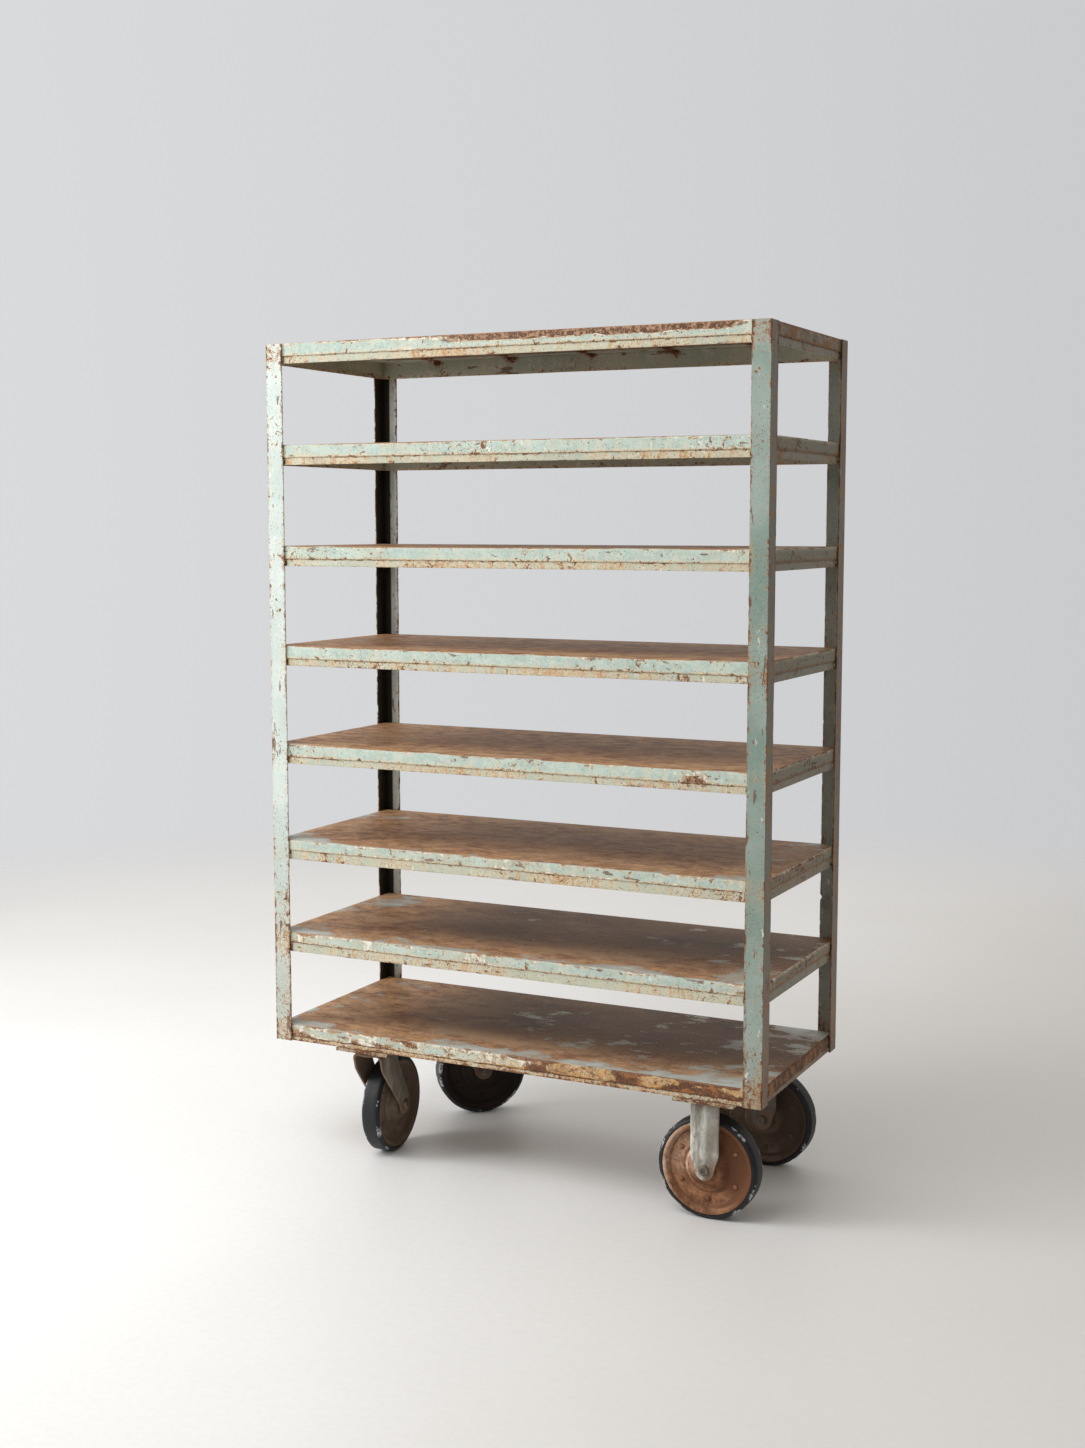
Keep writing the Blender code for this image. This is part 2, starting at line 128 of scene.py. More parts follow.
def wobble(x, y=0.0, z=0.0):
    """Smooth noise from -1 to 1."""
    return noise.noise(Vector((x, y, z)))


def bumps(x, y=0.0, z=0.0):
    """The upper half of the noise, and 0 elsewhere."""
    return max(wobble(x, y, z), 0.0)


def unit(value):
    return min(max(value, 0.0), 1.0)


def outward(low, high, side):
    """Whichever of two limits lies on the outward side."""
    return high if side > 0 else low


def along(points, value):
    """Straight-line reading of a (key, value) list whose keys run downwards."""
    for (k1, v1), (k2, v2) in zip(points, points[1:]):
        if value >= k2:
            return v1 + unit((k1 - value) / (k1 - k2)) * (v2 - v1)
    return points[-1][1]


def eased(points, rounds=2):
    """Corner-cutting of an open (radius, height) list, which keeps its ends."""
    for _ in range(rounds):
        cut = [points[0]]
        for (r1, h1), (r2, h2) in zip(points, points[1:]):
            cut.append((r1 * 0.75 + r2 * 0.25, h1 * 0.75 + h2 * 0.25))
            cut.append((r1 * 0.25 + r2 * 0.75, h1 * 0.25 + h2 * 0.75))
        cut.append(points[-1])
        points = cut
    return points


def circle(segments):
    """(angle, cosine, sine) at even steps round a circle."""
    angles = [2 * math.pi * i / segments for i in range(segments)]
    return [(angle, math.cos(angle), math.sin(angle)) for angle in angles]


class Plan:
    """Box of a deck or of a ring of rails, with its centre and half sizes seen from above."""

    def __init__(self, name):
        low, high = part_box(name)
        self.x, self.y = (high.x + low.x) / 2, (high.y + low.y) / 2
        self.half_x, self.half_y = (high.x - low.x) / 2, (high.y - low.y) / 2
        self.low, self.high = low.z, high.z
        self.drop = high.z - low.z

    def places(self, step):
        """(x, y) factors round the rectangle, counter-clockwise, and the steps along x and y."""
        count_x, count_y = round(2 * self.half_x / step), round(2 * self.half_y / step)
        front = [(-1 + 2 * i / count_x, -1.0) for i in range(count_x)]
        right = [(1.0, -1 + 2 * i / count_y) for i in range(count_y)]
        opposite = [(-x, -y) for x, y in front + right]
        return front + right + opposite, count_x, count_y


class Shape:
    """Points and faces of one piece, with the fields that its material reads.

    wear bares the steel, stain yellows or dirties the paint, the third field blackens it (painted shade
    on faces turned from the light and on hollow sides, and dirt at the uprights' feet), and top marks
    a deck's upper face. On deck tops, fork pressings and wheel discs stain also carries painted shade,
    and on wheel discs wear carries painted highlights.
    """

    FIELDS = ("wear", "stain", "shade_and_grime", "top")

    def __init__(self):
        self.points = []
        self.faces = []
        self.values = {field: [] for field in self.FIELDS}

    def add(self, point, wear=0.0, stain=0.0, shade_and_grime=0.0, top=0.0):
        self.points.append(tuple(point))
        for field, value in zip(self.FIELDS, (wear, stain, shade_and_grime, top)):
            self.values[field].append(value)
        return len(self.points) - 1

    def loft(self, rings, closed=False):
        """Quads between rings of add()'s arguments, with caps unless the last ring meets the first."""
        rows = [[self.add(*entry) for entry in ring] for ring in rings]
        self.bridge(rows, closed)
        if not closed:
            self.faces.append(tuple(rows[0][::-1]))
            self.faces.append(tuple(rows[-1]))

    def bridge(self, rows, closed=False):
        pairs = list(zip(rows, rows[1:]))
        if closed:
            pairs.append((rows[-1], rows[0]))
        count = len(rows[0])
        for low, high in pairs:
            for i in range(count):
                j = (i + 1) % count
                self.faces.append((low[i], low[j], high[j], high[i]))

    def turn(self, profile, segments, wear):
        """Body of revolution about local Y, from a closed list of (radius, y) points."""
        rings = []
        for radius, height in profile:
            rings.append([((radius * c, height, radius * s), wear) for _, c, s in circle(segments)])
        self.loft(rings, closed=True)

    def moved(self, matrix):
        self.points = [tuple(matrix @ Vector(point)) for point in self.points]
        return self

    def build(self, name, material, sharp=38.0):
        """Mesh object whose edges are sharp past an angle in degrees."""
        mesh = bpy.data.meshes.new(name)
        mesh.from_pydata(self.points, [], self.faces)
        for field, values in self.values.items():
            mesh.attributes.new(field, "FLOAT", "POINT").data.foreach_set("value", values)
        mesh.materials.append(material)
        mesh.update()
        face_outwards(mesh)
        mesh.shade_smooth()
        mesh.set_sharp_from_angle(angle=math.radians(sharp))
        item = bpy.data.objects.new(name, mesh)
        bpy.context.scene.collection.objects.link(item)
        return item


def face_outwards(mesh):
    bm = bmesh.new()
    bm.from_mesh(mesh)
    bmesh.ops.recalc_face_normals(bm, faces=bm.faces)
    bm.to_mesh(mesh)
    bm.free()


def install(item, body, slot, *nodes):
    """Put a finished piece on its body in place of CAD nodes."""
    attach(item, body)
    if nodes:
        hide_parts(*nodes)
    return item


# ---------------------------------------------------------------- material graph


class Graph:
    """A material's node tree, built one call per node."""

    def __init__(self, name):
        self.material = bpy.data.materials.new(name)
        self.material.use_nodes = True
        self.tree = self.material.node_tree
        self.shader = self.tree.nodes["Principled BSDF"]
        self.place = self.node("TexCoord").outputs["Object"]

    def node(self, kind):
        return self.tree.nodes.new("ShaderNode" + kind)

    def wire(self, socket, value):
        if isinstance(value, bpy.types.NodeSocket):
            self.tree.links.new(value, socket)
        elif isinstance(value, tuple) and len(value) == 3 and socket.type == "RGBA":
            socket.default_value = (*value, 1.0)
        else:
            socket.default_value = value

    def noise(self, scale, detail=3.0, rough=0.6, stretch=(1, 1, 1), offset=(0, 0, 0), twist=0.0):
        mapping = self.node("Mapping")
        self.wire(mapping.inputs["Vector"], self.place)
        mapping.inputs["Location"].default_value = offset
        mapping.inputs["Scale"].default_value = stretch
        node = self.node("TexNoise")
        self.wire(node.inputs["Vector"], mapping.outputs["Vector"])
        settings = {"Scale": scale, "Detail": detail, "Roughness": rough, "Distortion": twist}
        for name, value in settings.items():
            node.inputs[name].default_value = value
        return node.outputs["Fac"]

    def field(self, name):
        node = self.node("Attribute")
        node.attribute_name = name
        return node.outputs["Fac"]

    def math(self, operation, a, b=0.0, c=0.0):
        node = self.node("Math")
        node.operation = operation
        for socket, value in zip(node.inputs, (a, b, c)):
            self.wire(socket, value)
        return node.outputs[0]

    def times(self, a, b):
        return self.math("MULTIPLY", a, b)

    def minus(self, a, b):
        return self.math("SUBTRACT", a, b)

    def total(self, *terms):
        """Sum of (value, share) terms."""
        result = 0.0
        for value, share in terms:
            result = self.math("MULTIPLY_ADD", value, share, result)
        return result

    def step(self, value, low, high, top=1.0):
        node = self.node("MapRange")
        node.interpolation_type = "SMOOTHSTEP"
        self.wire(node.inputs["Value"], value)
        for name, number in (("From Min", low), ("From Max", high), ("To Max", top)):
            node.inputs[name].default_value = number
        return node.outputs["Result"]

    def mix(self, share, first, second):
        """Mix of two colours."""
        return self.mixed("RGBA", share, first, second)

    def blend(self, share, first, second):
        """Mix of two numbers."""
        return self.mixed("FLOAT", share, first, second)

    def mixed(self, kind, share, first, second):
        node = self.node("Mix")
        node.data_type = kind
        for name, value in (("Factor", share), ("A", first), ("B", second)):
            self.wire(node.inputs[name], value)
        return node.outputs["Result"]

    def finish(self, color, rough, height, depth, metallic=0.0, gloss=0.4):
        bump = self.node("Bump")
        bump.inputs["Distance"].default_value = depth
        self.wire(bump.inputs["Height"], height)
        self.wire(self.shader.inputs["Normal"], bump.outputs["Normal"])
        self.wire(self.shader.inputs["Base Color"], color)
        self.wire(self.shader.inputs["Roughness"], rough)
        self.shader.inputs["Metallic"].default_value = metallic
        self.shader.inputs["Specular IOR Level"].default_value = gloss
        return self.material


# ---------------------------------------------------------------- materials


def rust_color(g, fine, coarse):
    body = g.mix(g.step(fine, 0.40, 0.58), RUST_DARK, RUST_BROWN)
    body = g.mix(g.step(coarse, 0.50, 0.66, 0.85), body, RUST_RED)
    return g.mix(g.step(fine, 0.60, 0.72, 0.9), body, OCHRE)


def grunge(g, paint, wear, stain, offset, aged, along_z=False):
    """Pale scratches and chips, then rust blots, dots and long chips, over a paint colour."""
    coarse = g.noise(9.0, 4.0, 0.6, offset=offset)
    spots = g.noise(88.0, 5.0, 0.62, offset=offset, twist=0.6)
    scratch = g.noise(150.0, 4.0, 0.6, stretch=(1.0, 1.0, 0.14), offset=offset)
    lie = (1.0, 1.0, 0.22) if along_z else (0.28, 0.28, 1.0)
    long = g.noise(70.0, 5.0, 0.6, stretch=lie, offset=offset)
    speck = g.noise(300.0, 3.0, 0.6, offset=offset)
    pale = g.noise(52.0, 6.0, 0.72, stretch=(1.0, 1.0, 0.50), offset=(offset[2], 9.0, offset[0]))
    paint = g.mix(g.step(scratch, 0.61, 0.67, 0.50), paint, aged)
    paint = g.mix(g.step(pale, 0.640, 0.665, 0.80), paint, BLEACHED)
    blots = g.total((spots, 1.0), (stain, 0.08), (coarse, 0.30), (wear, 0.26))
    paint = g.mix(g.step(blots, 0.815, 0.870, 0.65), paint, OCHRE)
    paint = g.mix(g.step(blots, 0.860, 0.882, 0.9), paint, RUST_BROWN)
    dots = g.total((speck, 1.0), (stain, 0.06), (coarse, 0.25))
    paint = g.mix(g.step(dots, 0.768, 0.800, 0.80), paint, RUST_BROWN)
    streaks = g.total((long, 1.0), (wear, 0.26), (coarse, 0.22))
    return g.mix(g.step(streaks, 0.782, 0.805, 0.8), paint, RUST_BROWN)


def painted(name, offset, chip=0.70, dirt=0.0, light=MINT_LIGHT, deep=MINT_DEEP, aged=CREAM,
            along_z=False):
    """Enamel over rusted steel; chip is how much of it holds, and along_z lays its marks upright."""
    g = Graph(name)
    coarse = g.noise(5.0, 4.0, 0.6, offset=offset)
    middle = g.noise(44.0, 5.0, 0.62, offset=offset, twist=0.4)
    fine = g.noise(190.0, 5.0, 0.65, offset=offset)
    tiny = g.noise(560.0, 3.0, 0.7, offset=offset)
    runs = g.noise(60.0, 5.0, 0.65, stretch=(1.0, 1.0, 0.10), offset=offset)
    wear, stain, shade_and_grime = g.field("wear"), g.field("stain"), g.field("shade_and_grime")
    chips = g.total((middle, 0.40), (fine, 0.38), (tiny, 0.22), (wear, 0.50))
    bare = g.step(chips, chip, chip + 0.014)

    paint = g.mix(g.step(coarse, 0.35, 0.65), deep, light)
    paint = g.mix(g.step(fine, 0.52, 0.64, 0.42), paint, aged)
    paint = g.mix(g.step(middle, 0.54, 0.66, 0.40), paint, BLEACHED if light[0] > 0.5 else light)
    paint = g.mix(g.step(tiny, 0.50, 0.66, 0.55), paint, deep)
    yellow = g.total((runs, 1.0), (stain, 0.80))
    paint = g.mix(g.step(yellow, 0.66, 1.16, 0.85), paint, aged)
    orange = g.total((runs, 0.5), (fine, 0.5), (stain, 0.36))
    paint = g.mix(g.step(orange, 0.66, 0.88, 0.85), paint, OCHRE)
    rim = g.mix(g.step(tiny, 0.4, 0.6), OCHRE, RUST_RED)
    paint = g.mix(g.step(chips, chip - 0.09, chip - 0.004, 0.55), paint, rim)
    paint = grunge(g, paint, wear, stain, offset, aged, along_z)
    soil = g.total((coarse, 1.0), (runs, 0.25))
    paint = g.mix(g.step(soil, 0.70 - dirt, 1.05 - dirt, 0.8), paint, DIRT)

    color = g.mix(bare, paint, rust_color(g, tiny, fine))
    # Painted shade: the third field darkens faces turned from the light and hollow sides almost to black,
    # besides some dirt at the uprights' feet; orange rust shows in its middle band.
    color = g.mix(g.times(shade_and_grime, g.step(fine, -0.2, 0.45)), color, (0.022, 0.020, 0.014))
    thin = g.minus(g.step(shade_and_grime, 0.30, 0.45), g.step(shade_and_grime, 0.60, 0.90))
    color = g.mix(g.times(thin, g.step(middle, 0.55, 0.63, 0.85)), color, (0.360, 0.165, 0.045))
    rough = g.math("MAXIMUM", g.blend(bare, g.step(middle, 0.2, 0.9, 0.62), 0.88), 0.36)
    grain = g.times(fine, g.math("MULTIPLY_ADD", bare, 0.5, 0.14))
    return g.finish(color, rough, g.math("MULTIPLY_ADD", bare, -0.45, grain), 0.0009, gloss=0.35)


def top_rust(g, coarse, middle, fine, grit, shade):
    """Brown rust of a deck's top, with dust in places and painted shade where the shade mask is high."""
    dust = g.noise(13.0, 8.0, 0.78, stretch=(0.45, 1.2, 1.0), offset=(3, 7, 1))
    brown = g.mix(g.step(middle, 0.38, 0.62), (0.220, 0.092, 0.036), (0.520, 0.290, 0.140))
    brown = g.mix(g.step(coarse, 0.46, 0.66, 0.60), brown, (0.560, 0.350, 0.190))
    brown = g.mix(g.step(fine, 0.54, 0.68, 0.80), brown, (0.085, 0.032, 0.014))
    brown = g.mix(g.step(grit, 0.56, 0.74, 0.50), brown, (0.560, 0.400, 0.260))
    brown = g.mix(g.step(dust, 0.54, 0.68, 0.42), brown, (0.470, 0.410, 0.320))
    return g.mix(g.times(shade, g.step(middle, 0.20, 0.62)), brown, (0.070, 0.034, 0.017))


def edge_rust(g, middle, fine, grit, stain):
    """Rust of a deck's folded edge: fresh brown, and burnt orange where the stain is high."""
    fresh = g.times(g.step(fine, 0.46, 0.60), g.minus(1.0, g.step(stain, 0.50, 0.80)))
    rust = g.mix(fresh, rust_color(g, grit, fine), (0.43, 0.26, 0.155))
    burnt = g.times(g.step(stain, 0.60, 0.90), g.step(middle, 0.50, 0.60, 0.85))
    return g.mix(burnt, rust, (0.380, 0.150, 0.045))


def deck_paint(g, middle, fine, grit, chips, folded):
    """What is left of a deck's paint: grey smears on top, stained enamel on the folded edge."""
    streaks = g.noise(75.0, 5.0, 0.65, stretch=(1.0, 1.0, 0.12), offset=(5, 1, 2))
    wear, stain = g.field("wear"), g.field("stain")
    paint = g.mix(g.step(middle, 0.40, 0.60), (0.40, 0.50, 0.45), MINT_LIGHT)
    paint = g.mix(g.times(g.field("top"), 0.75), paint, (0.50, 0.52, 0.50))
    paint = g.mix(g.step(fine, 0.48, 0.66, 0.38), paint, BLEACHED)
    paint = g.mix(g.step(grit, 0.50, 0.70, 0.45), paint, MINT_DEEP)
    yellow = g.total((streaks, 1.0), (stain, 0.66))
    paint = g.mix(g.times(folded, g.step(yellow, 0.55, 1.00, 0.85)), paint, CREAM)
    orange = g.total((grit, 0.4), (fine, 0.6), (stain, 0.34))
    paint = g.mix(g.times(folded, g.step(orange, 0.66, 0.82, 0.9)), paint, OCHRE)
    paint = g.mix(folded, paint, grunge(g, paint, wear, stain, (6.0, 3.0, 1.0), CREAM))
    dirty = g.mix(folded, (0.30, 0.21, 0.14), (0.48, 0.33, 0.17))
    paint = g.mix(g.step(chips, 0.60, 0.72, 0.62), paint, dirty)
    chalky = g.times(g.times(folded, g.step(chips, 0.660, 0.690)), g.step(streaks, 0.46, 0.58, 0.9))
    flakes = g.mix(g.step(stain, 0.62, 0.85), (0.80, 0.78, 0.69), (0.60, 0.32, 0.085))
    return g.mix(chalky, paint, flakes)


def deck_material():
    """Sheet steel: rust and smears of paint on top, chipped paint on its folded edge."""
    g = Graph("deck_rust_and_paint")
    coarse = g.noise(7.0, 9.0, 0.70, stretch=(0.60, 1.1, 1.0), twist=0.4)
    middle = g.noise(34.0, 7.0, 0.72, stretch=(0.75, 1.1, 1.0), twist=0.3)
    fine = g.noise(150.0, 6.0, 0.72)
    grit = g.noise(420.0, 3.0, 0.75)
    stain, top, shade_and_grime = g.field("stain"), g.field("top"), g.field("shade_and_grime")
    folded = g.minus(1.0, top)
    chips = g.total((middle, 0.30), (coarse, 0.42), (fine, 0.20), (grit, 0.08), (g.field("wear"), 0.50))
    bare = g.step(chips, 0.715, 0.740)
    # On the top, stain carries painted shade.
    rust = top_rust(g, coarse, middle, fine, grit, g.times(stain, top))
    rust = g.mix(g.times(folded, 0.95), rust, edge_rust(g, middle, fine, grit, stain))
    color = g.mix(bare, deck_paint(g, middle, fine, grit, chips, folded), rust)
    # Painted shade from the third field on the right-hand folded edges, with orange rust patches showing
    # through it.
    color = g.mix(shade_and_grime, color, (0.045, 0.036, 0.024))
    showing = g.times(g.step(shade_and_grime, 0.20, 0.50), g.step(middle, 0.45, 0.56, 0.85))
    color = g.mix(g.times(showing, g.step(chips, 0.64, 0.74)), color, (0.360, 0.150, 0.040))
    rough = g.blend(bare, 0.50, g.math("MULTIPLY_ADD", fine, 0.30, 0.42))
    grain = g.times(fine, g.math("MULTIPLY_ADD", bare, 0.55, 0.12))
    return g.finish(color, rough, g.math("MULTIPLY_ADD", bare, -0.35, grain), 0.0008, gloss=0.28)


def caster_material(name, light, dark, offset):
    """Dirty painted pressing, darkened by painted shade where the stain field is high, worn to brown at its
    edges and lower end.
    """
    g = Graph(name)
    middle = g.noise(26.0, 5.0, 0.65, offset=offset, twist=0.3)
    streak = g.noise(40.0, 5.0, 0.6, stretch=(1.0, 1.0, 0.25), offset=offset)
    fine = g.noise(210.0, 4.0, 0.65, offset=offset)
    color = g.mix(g.step(streak, 0.35, 0.66), dark, light)
    # Painted shade from the stain field on the trailing half of each leg; the inner face is darkened too.
    color = g.mix(g.times(g.field("stain"), g.step(middle, 0.10, 0.50, 0.75)), color, dark)
    rusty = g.total((middle, 0.65), (fine, 0.35), (g.field("wear"), 0.45))
    color = g.mix(g.step(rusty, 0.55, 0.74, 0.9), color, (0.20, 0.12, 0.07))
    color = g.mix(g.step(fine, 0.62, 0.76, 0.6), color, RUST_DARK)
    height = g.total((middle, 0.5), (fine, 0.4))
    return g.finish(color, g.step(middle, -0.6, 1.3, 0.95), height, 0.0007, gloss=0.3)


def disc_material(name, bright, body, dark, offset):
    """Rusted pressed steel, lighter where the wear field carries painted highlights and darker where the
    stain field carries painted shade and marks the hollows.
    """
    g = Graph(name)
    middle = g.noise(30.0, 7.0, 0.74, offset=offset, twist=0.1)
    fine = g.noise(160.0, 5.0, 0.70, offset=offset)
    color = g.mix(g.step(middle, 0.36, 0.66), dark, body)
    # Painted highlight from the wear field, broken up by fine noise; then painted shade from the stain
    # field.
    highlight_mask = g.total((fine, 0.5), (g.field("wear"), 0.55))
    color = g.mix(g.step(highlight_mask, 0.42, 0.80, 0.85), color, bright)
    dirty = g.total((middle, 0.7), (g.field("stain"), 0.45))
    color = g.mix(g.step(dirty, 0.48, 0.72, 0.92), color, dark)
    color = g.mix(g.step(fine, 0.64, 0.76, 0.6), color, RUST_DARK)
    height = g.total((middle, 0.5), (fine, 0.5))
    return g.finish(color, g.step(middle, -0.8, 1.2, 0.95), height, 0.0006, gloss=0.3)


def tyre_material(name, offset):
    """Hard black rubber with pale scuffs on its shoulders."""
    g = Graph(name)
    middle = g.noise(30.0, 5.0, 0.7, offset=offset, twist=0.6)
    fine = g.noise(190.0, 5.0, 0.7, offset=offset)
    color = g.mix(g.step(middle, 0.38, 0.66), (0.004, 0.004, 0.005), (0.014, 0.014, 0.017))
    color = g.mix(g.times(g.field("stain"), g.step(fine, 0.34, 0.66)), color, (0.020, 0.020, 0.022))
    scuff = g.total((middle, 0.55), (fine, 0.45), (g.field("wear"), 0.40))
    color = g.mix(g.step(scuff, 0.76, 0.83, 0.9), color, (0.50, 0.51, 0.53))
    color = g.mix(g.step(fine, 0.66, 0.78, 0.3), color, (0.16, 0.15, 0.14))
    rough = g.blend(g.step(scuff, 0.70, 0.86), 0.52, 0.85)
    return g.finish(color, rough, g.total((middle, 0.4), (fine, 0.6)), 0.0007, gloss=0.4)


def steel_material():
    """Bolts, nuts and hub parts: old greasy steel."""
    g = Graph("greasy_steel")
    middle = g.noise(60.0, 4.0, 0.6)
    fine = g.noise(320.0, 4.0, 0.65)
    color = g.mix(g.step(middle, 0.35, 0.65), (0.055, 0.045, 0.038), (0.21, 0.17, 0.13))
    color = g.mix(g.step(fine, 0.58, 0.74, 0.7), color, (0.17, 0.075, 0.035))
    height = g.total((middle, 0.3), (fine, 0.5))
    return g.finish(color, g.step(fine, -0.4, 1.2, 0.8), height, 0.0004, metallic=0.35, gloss=0.5)


def weld_material():
    """Weld beads: rust showing through thick paint."""
    g = Graph("painted_weld")
    middle = g.noise(90.0, 5.0, 0.65, twist=0.4)
    fine = g.noise(330.0, 4.0, 0.65)
    color = g.mix(g.step(middle, 0.47, 0.60), rust_color(g, fine, middle), (0.40, 0.36, 0.25))
    height = g.total((middle, 0.5), (fine, 0.5))
    return g.finish(color, g.step(middle, -0.8, 1.0, 0.9), height, 0.0006, gloss=0.3)


# ---------------------------------------------------------------- rack


def upright_of(front, end):
    """Name, box and outward directions along x and y of a corner upright."""
    name = "upright_%s_%s" % (front, end)
    low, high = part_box(name)
    return name, low, high, (1 if end == "right" else -1), (1 if front == "rear" else -1)


def joint_heights():
    """Middle height of each shelf's lip, where the uprights are welded to it."""
    return [(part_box("shelf_frame_%d" % n)[0].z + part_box("deck_%d" % n)[1].z) / 2 for n in SHELVES]


def near_joint(z, heights, reach):
    return max(smooth(reach, reach * 0.3, abs(z - height)) for height in heights)


def angle_outline(leg):
    """Rolled angle's outline as (along x, along y, how exposed that spot is), heel first."""
    t, soft = ANGLE_THICKNESS, 0.0006
    heel = [(soft, 0.0, 0.8), (0.0030, 0.0, 0.35)]
    face = [(u, 0.0, 0.0) for u in (0.0070, 0.013, 0.019, 0.025)]
    face += [(0.031, 0.0, 0.1), (leg - 0.0032, 0.0, 0.55)]
    toe = [(leg - soft, 0.0, 1.0), (leg, soft, 1.0), (leg, t - 2 * soft, 1.0), (leg - 2 * soft, t, 1.0)]
    inside = [(leg - 0.0045, t, 0.4)] + [(u, t, 0.0) for u in (0.027, 0.0215, 0.0185, 0.010)]
    first = heel + face + toe + inside
    second = [(v, u, exposed) for u, v, exposed in first[::-1]]
    return first + [(t, t, 0.0)] + second


def notch_depth(z, notches):
    return max((depth * smooth(width, 0.0, abs(z - place)) for place, width, depth in notches), default=0.0)


def worn_place(u, v, exposed, z, leg, seed, notches):
    """An outline point with its nicks, notches and shallow dents."""
    cut = 0.0
    if exposed == 1.0:
        cut = 0.0022 * max(wobble(z * 95, seed) - 0.22, 0.0)
        cut += 0.003 * max(wobble(z * 24, seed + 9) - 0.35, 0.0)
        cut += notch_depth(z, notches) if u > v else 0.0
    dent = 0.0004 * bumps(z * 14, seed + u * 60)
    worn_u = u - cut if u >= v else u
    worn_v = v - cut if v > u else v
    if v == 0.0 and 0.002 < u < leg - 0.002:
        worn_v = dent
    if u == 0.0 and 0.002 < v < leg - 0.002:
        worn_u = dent
    return worn_u, worn_v


def add_upright(front, end, paint, notches=(), side_stain=0.0, foot_reach=0.10, inner_shade=0.0):
    """Corner angle; side_stain is for its end face, and the last argument paints shade on its hollow side.
    """
    name, low, high, side_x, side_y = upright_of(front, end)
    corner_x, corner_y = outward(low.x, high.x, side_x), outward(low.y, high.y, side_y)
    leg = high.x - low.x
    heights = joint_heights()
    outline = angle_outline(leg)
    count = round((high.z - low.z) / UPRIGHT_STEP)
    rings = []
    for i in range(count + 1):
        z = low.z + (high.z - low.z) * i / count
        joint = near_joint(z, heights, 0.045)
        foot = smooth(low.z + foot_reach, low.z, z)
        crown = smooth(high.z - 0.075, high.z - 0.030, z)
        ring = []
        for u, v, exposed in outline:
            side_face = v > u
            seed = 3.1 * side_x + 1.7 * side_y + (5.0 if u > v else 0.0)
            worn_u, worn_v = worn_place(u, v, exposed, z, leg, seed, notches)
            bite = bumps(z * 31, seed + 3)
            wear = 0.09 + exposed * (0.20 + 0.34 * bite) + 0.05 * joint + 0.10 * foot + 0.10 * crown
            stain = 0.12 + 0.30 * exposed + 0.18 * joint + 0.12 * crown + 0.35 * foot
            stain += side_stain if side_face else 0.0
            # Dirt near the foot; painted shade on a right upright's outer side face, which is turned from
            # the light, and on the hollow side from the last argument.
            shade_and_grime = 0.13 * foot
            if side_face and u < ANGLE_THICKNESS and end == "right":
                shade_and_grime = 0.50
            if min(u, v) >= ANGLE_THICKNESS and (side_face or u < 0.020):
                shade_and_grime = inner_shade
            point = (corner_x - side_x * worn_u, corner_y - side_y * worn_v, z)
            ring.append((point, wear, min(stain, 1.0), shade_and_grime))
        rings.append(ring)
    shape = Shape()
    shape.loft(rings)
    item = shape.build(name + "_angle", paint)
    return install(item, "rack", "mint_paint", name)


def deck_top_wear(number, x, y, plan):
    """How much of the paint has gone from a deck's top, by level and by place."""
    base = {1: 0.60, 2: 0.69, 3: 0.80, 4: 0.98, 5: 1.0, 6: 0.98, 7: 0.9, 8: 0.8}[number]
    base += 0.14 * smooth(0.10, -0.40, x) if number == 1 else 0.0
    ends = smooth(plan.half_x - 0.24, plan.half_x - 0.01, abs(x) + 0.05 * wobble(y * 12, number))
    front = smooth(-plan.half_y + 0.075, -plan.half_y + 0.004, y)
    corner = ends * smooth(plan.half_y - 0.12, plan.half_y - 0.02, abs(y))
    patch = wobble(x * 5.5 + number * 3, y * 9, number)
    spots = wobble(x * 14 + number, y * 26, number * 7)
    flecks = wobble(x * 33 + number, y * 60, number * 7)
    loss = (0.13 if number < 3 else 0.20) * ends + 0.08 * corner + (0.22 if number < 4 else 0.10) * front
    return base - loss + 0.18 * patch + 0.22 * spots + 0.16 * flecks


def deck_shade(number, x, y, plan):
    """Painted shade on a deck's top rust, as under the shelf above: most in the middle and the rear of the
    low decks.
    """
    base = {1: 0.95, 2: 0.85, 3: 0.25}.get(number, 0.08)
    place = smooth(-plan.half_x + 0.10, -plan.half_x + 0.40, x) * smooth(-plan.half_y + 0.02, 0.0, y)
    return max(base * place * (0.85 + 0.4 * wobble(x * 4, y * 7, number)), 0.0)


def deck_sag(number, x, y, plan):
    """Dip of the sheet between its rails, with shallow dents."""
    inner_x, inner_y = plan.half_x - RAIL_LEG - 0.004, plan.half_y - RAIL_LEG - 0.004
    free = smooth(1.0, 0.72, abs(x) / inner_x) * smooth(1.0, 0.60, abs(y) / inner_y)
    return free * (0.0022 + 0.0012 * wobble(x * 6, y * 9, number * 2.3))


def flange_wear(number, side, x, share):
    """Chips on a deck's folded edge; share is 0 at the fold and 1 at the flange's free edge."""
    bite = bumps(x * 42, number * 3.0, share * 3)
    wear = 0.14 + 0.12 * smooth(0.80, 1.0, share) + (0.10 + 0.34 * bite) * smooth(0.35, 0.0, share)
    wear += 0.12 * wobble(x * 9, number * 4) + 0.10 * wobble(x * 30, number * 4, share * 2.5)
    if number <= 3:
        wear += 0.10
    if number == 1:
        wear += 0.10 + 0.10 * smooth(-0.1, 0.40, x) + 0.26 * wobble(x * 17, 5.0, share * 2)
    if number == 4 and side == "front":
        wear += 0.42 * smooth(0.045, 0.010, abs(x - 0.405)) * smooth(0.15, 0.45, share)
    if number == 8 and side == "front":
        reach = smooth(-0.24, 0.02, x) * smooth(0.50, 0.44, x)
        ragged = 0.10 * wobble(x * 24, 3.0) + 0.08 * wobble(x * 60, 9.0)
        wear += 0.62 * reach * smooth(0.74, 0.36, share + ragged) + 0.16 * smooth(0.5, 0.0, share)
    if side == "right":
        wear += 0.24 if number in (1, 8) else 0.06
    return wear


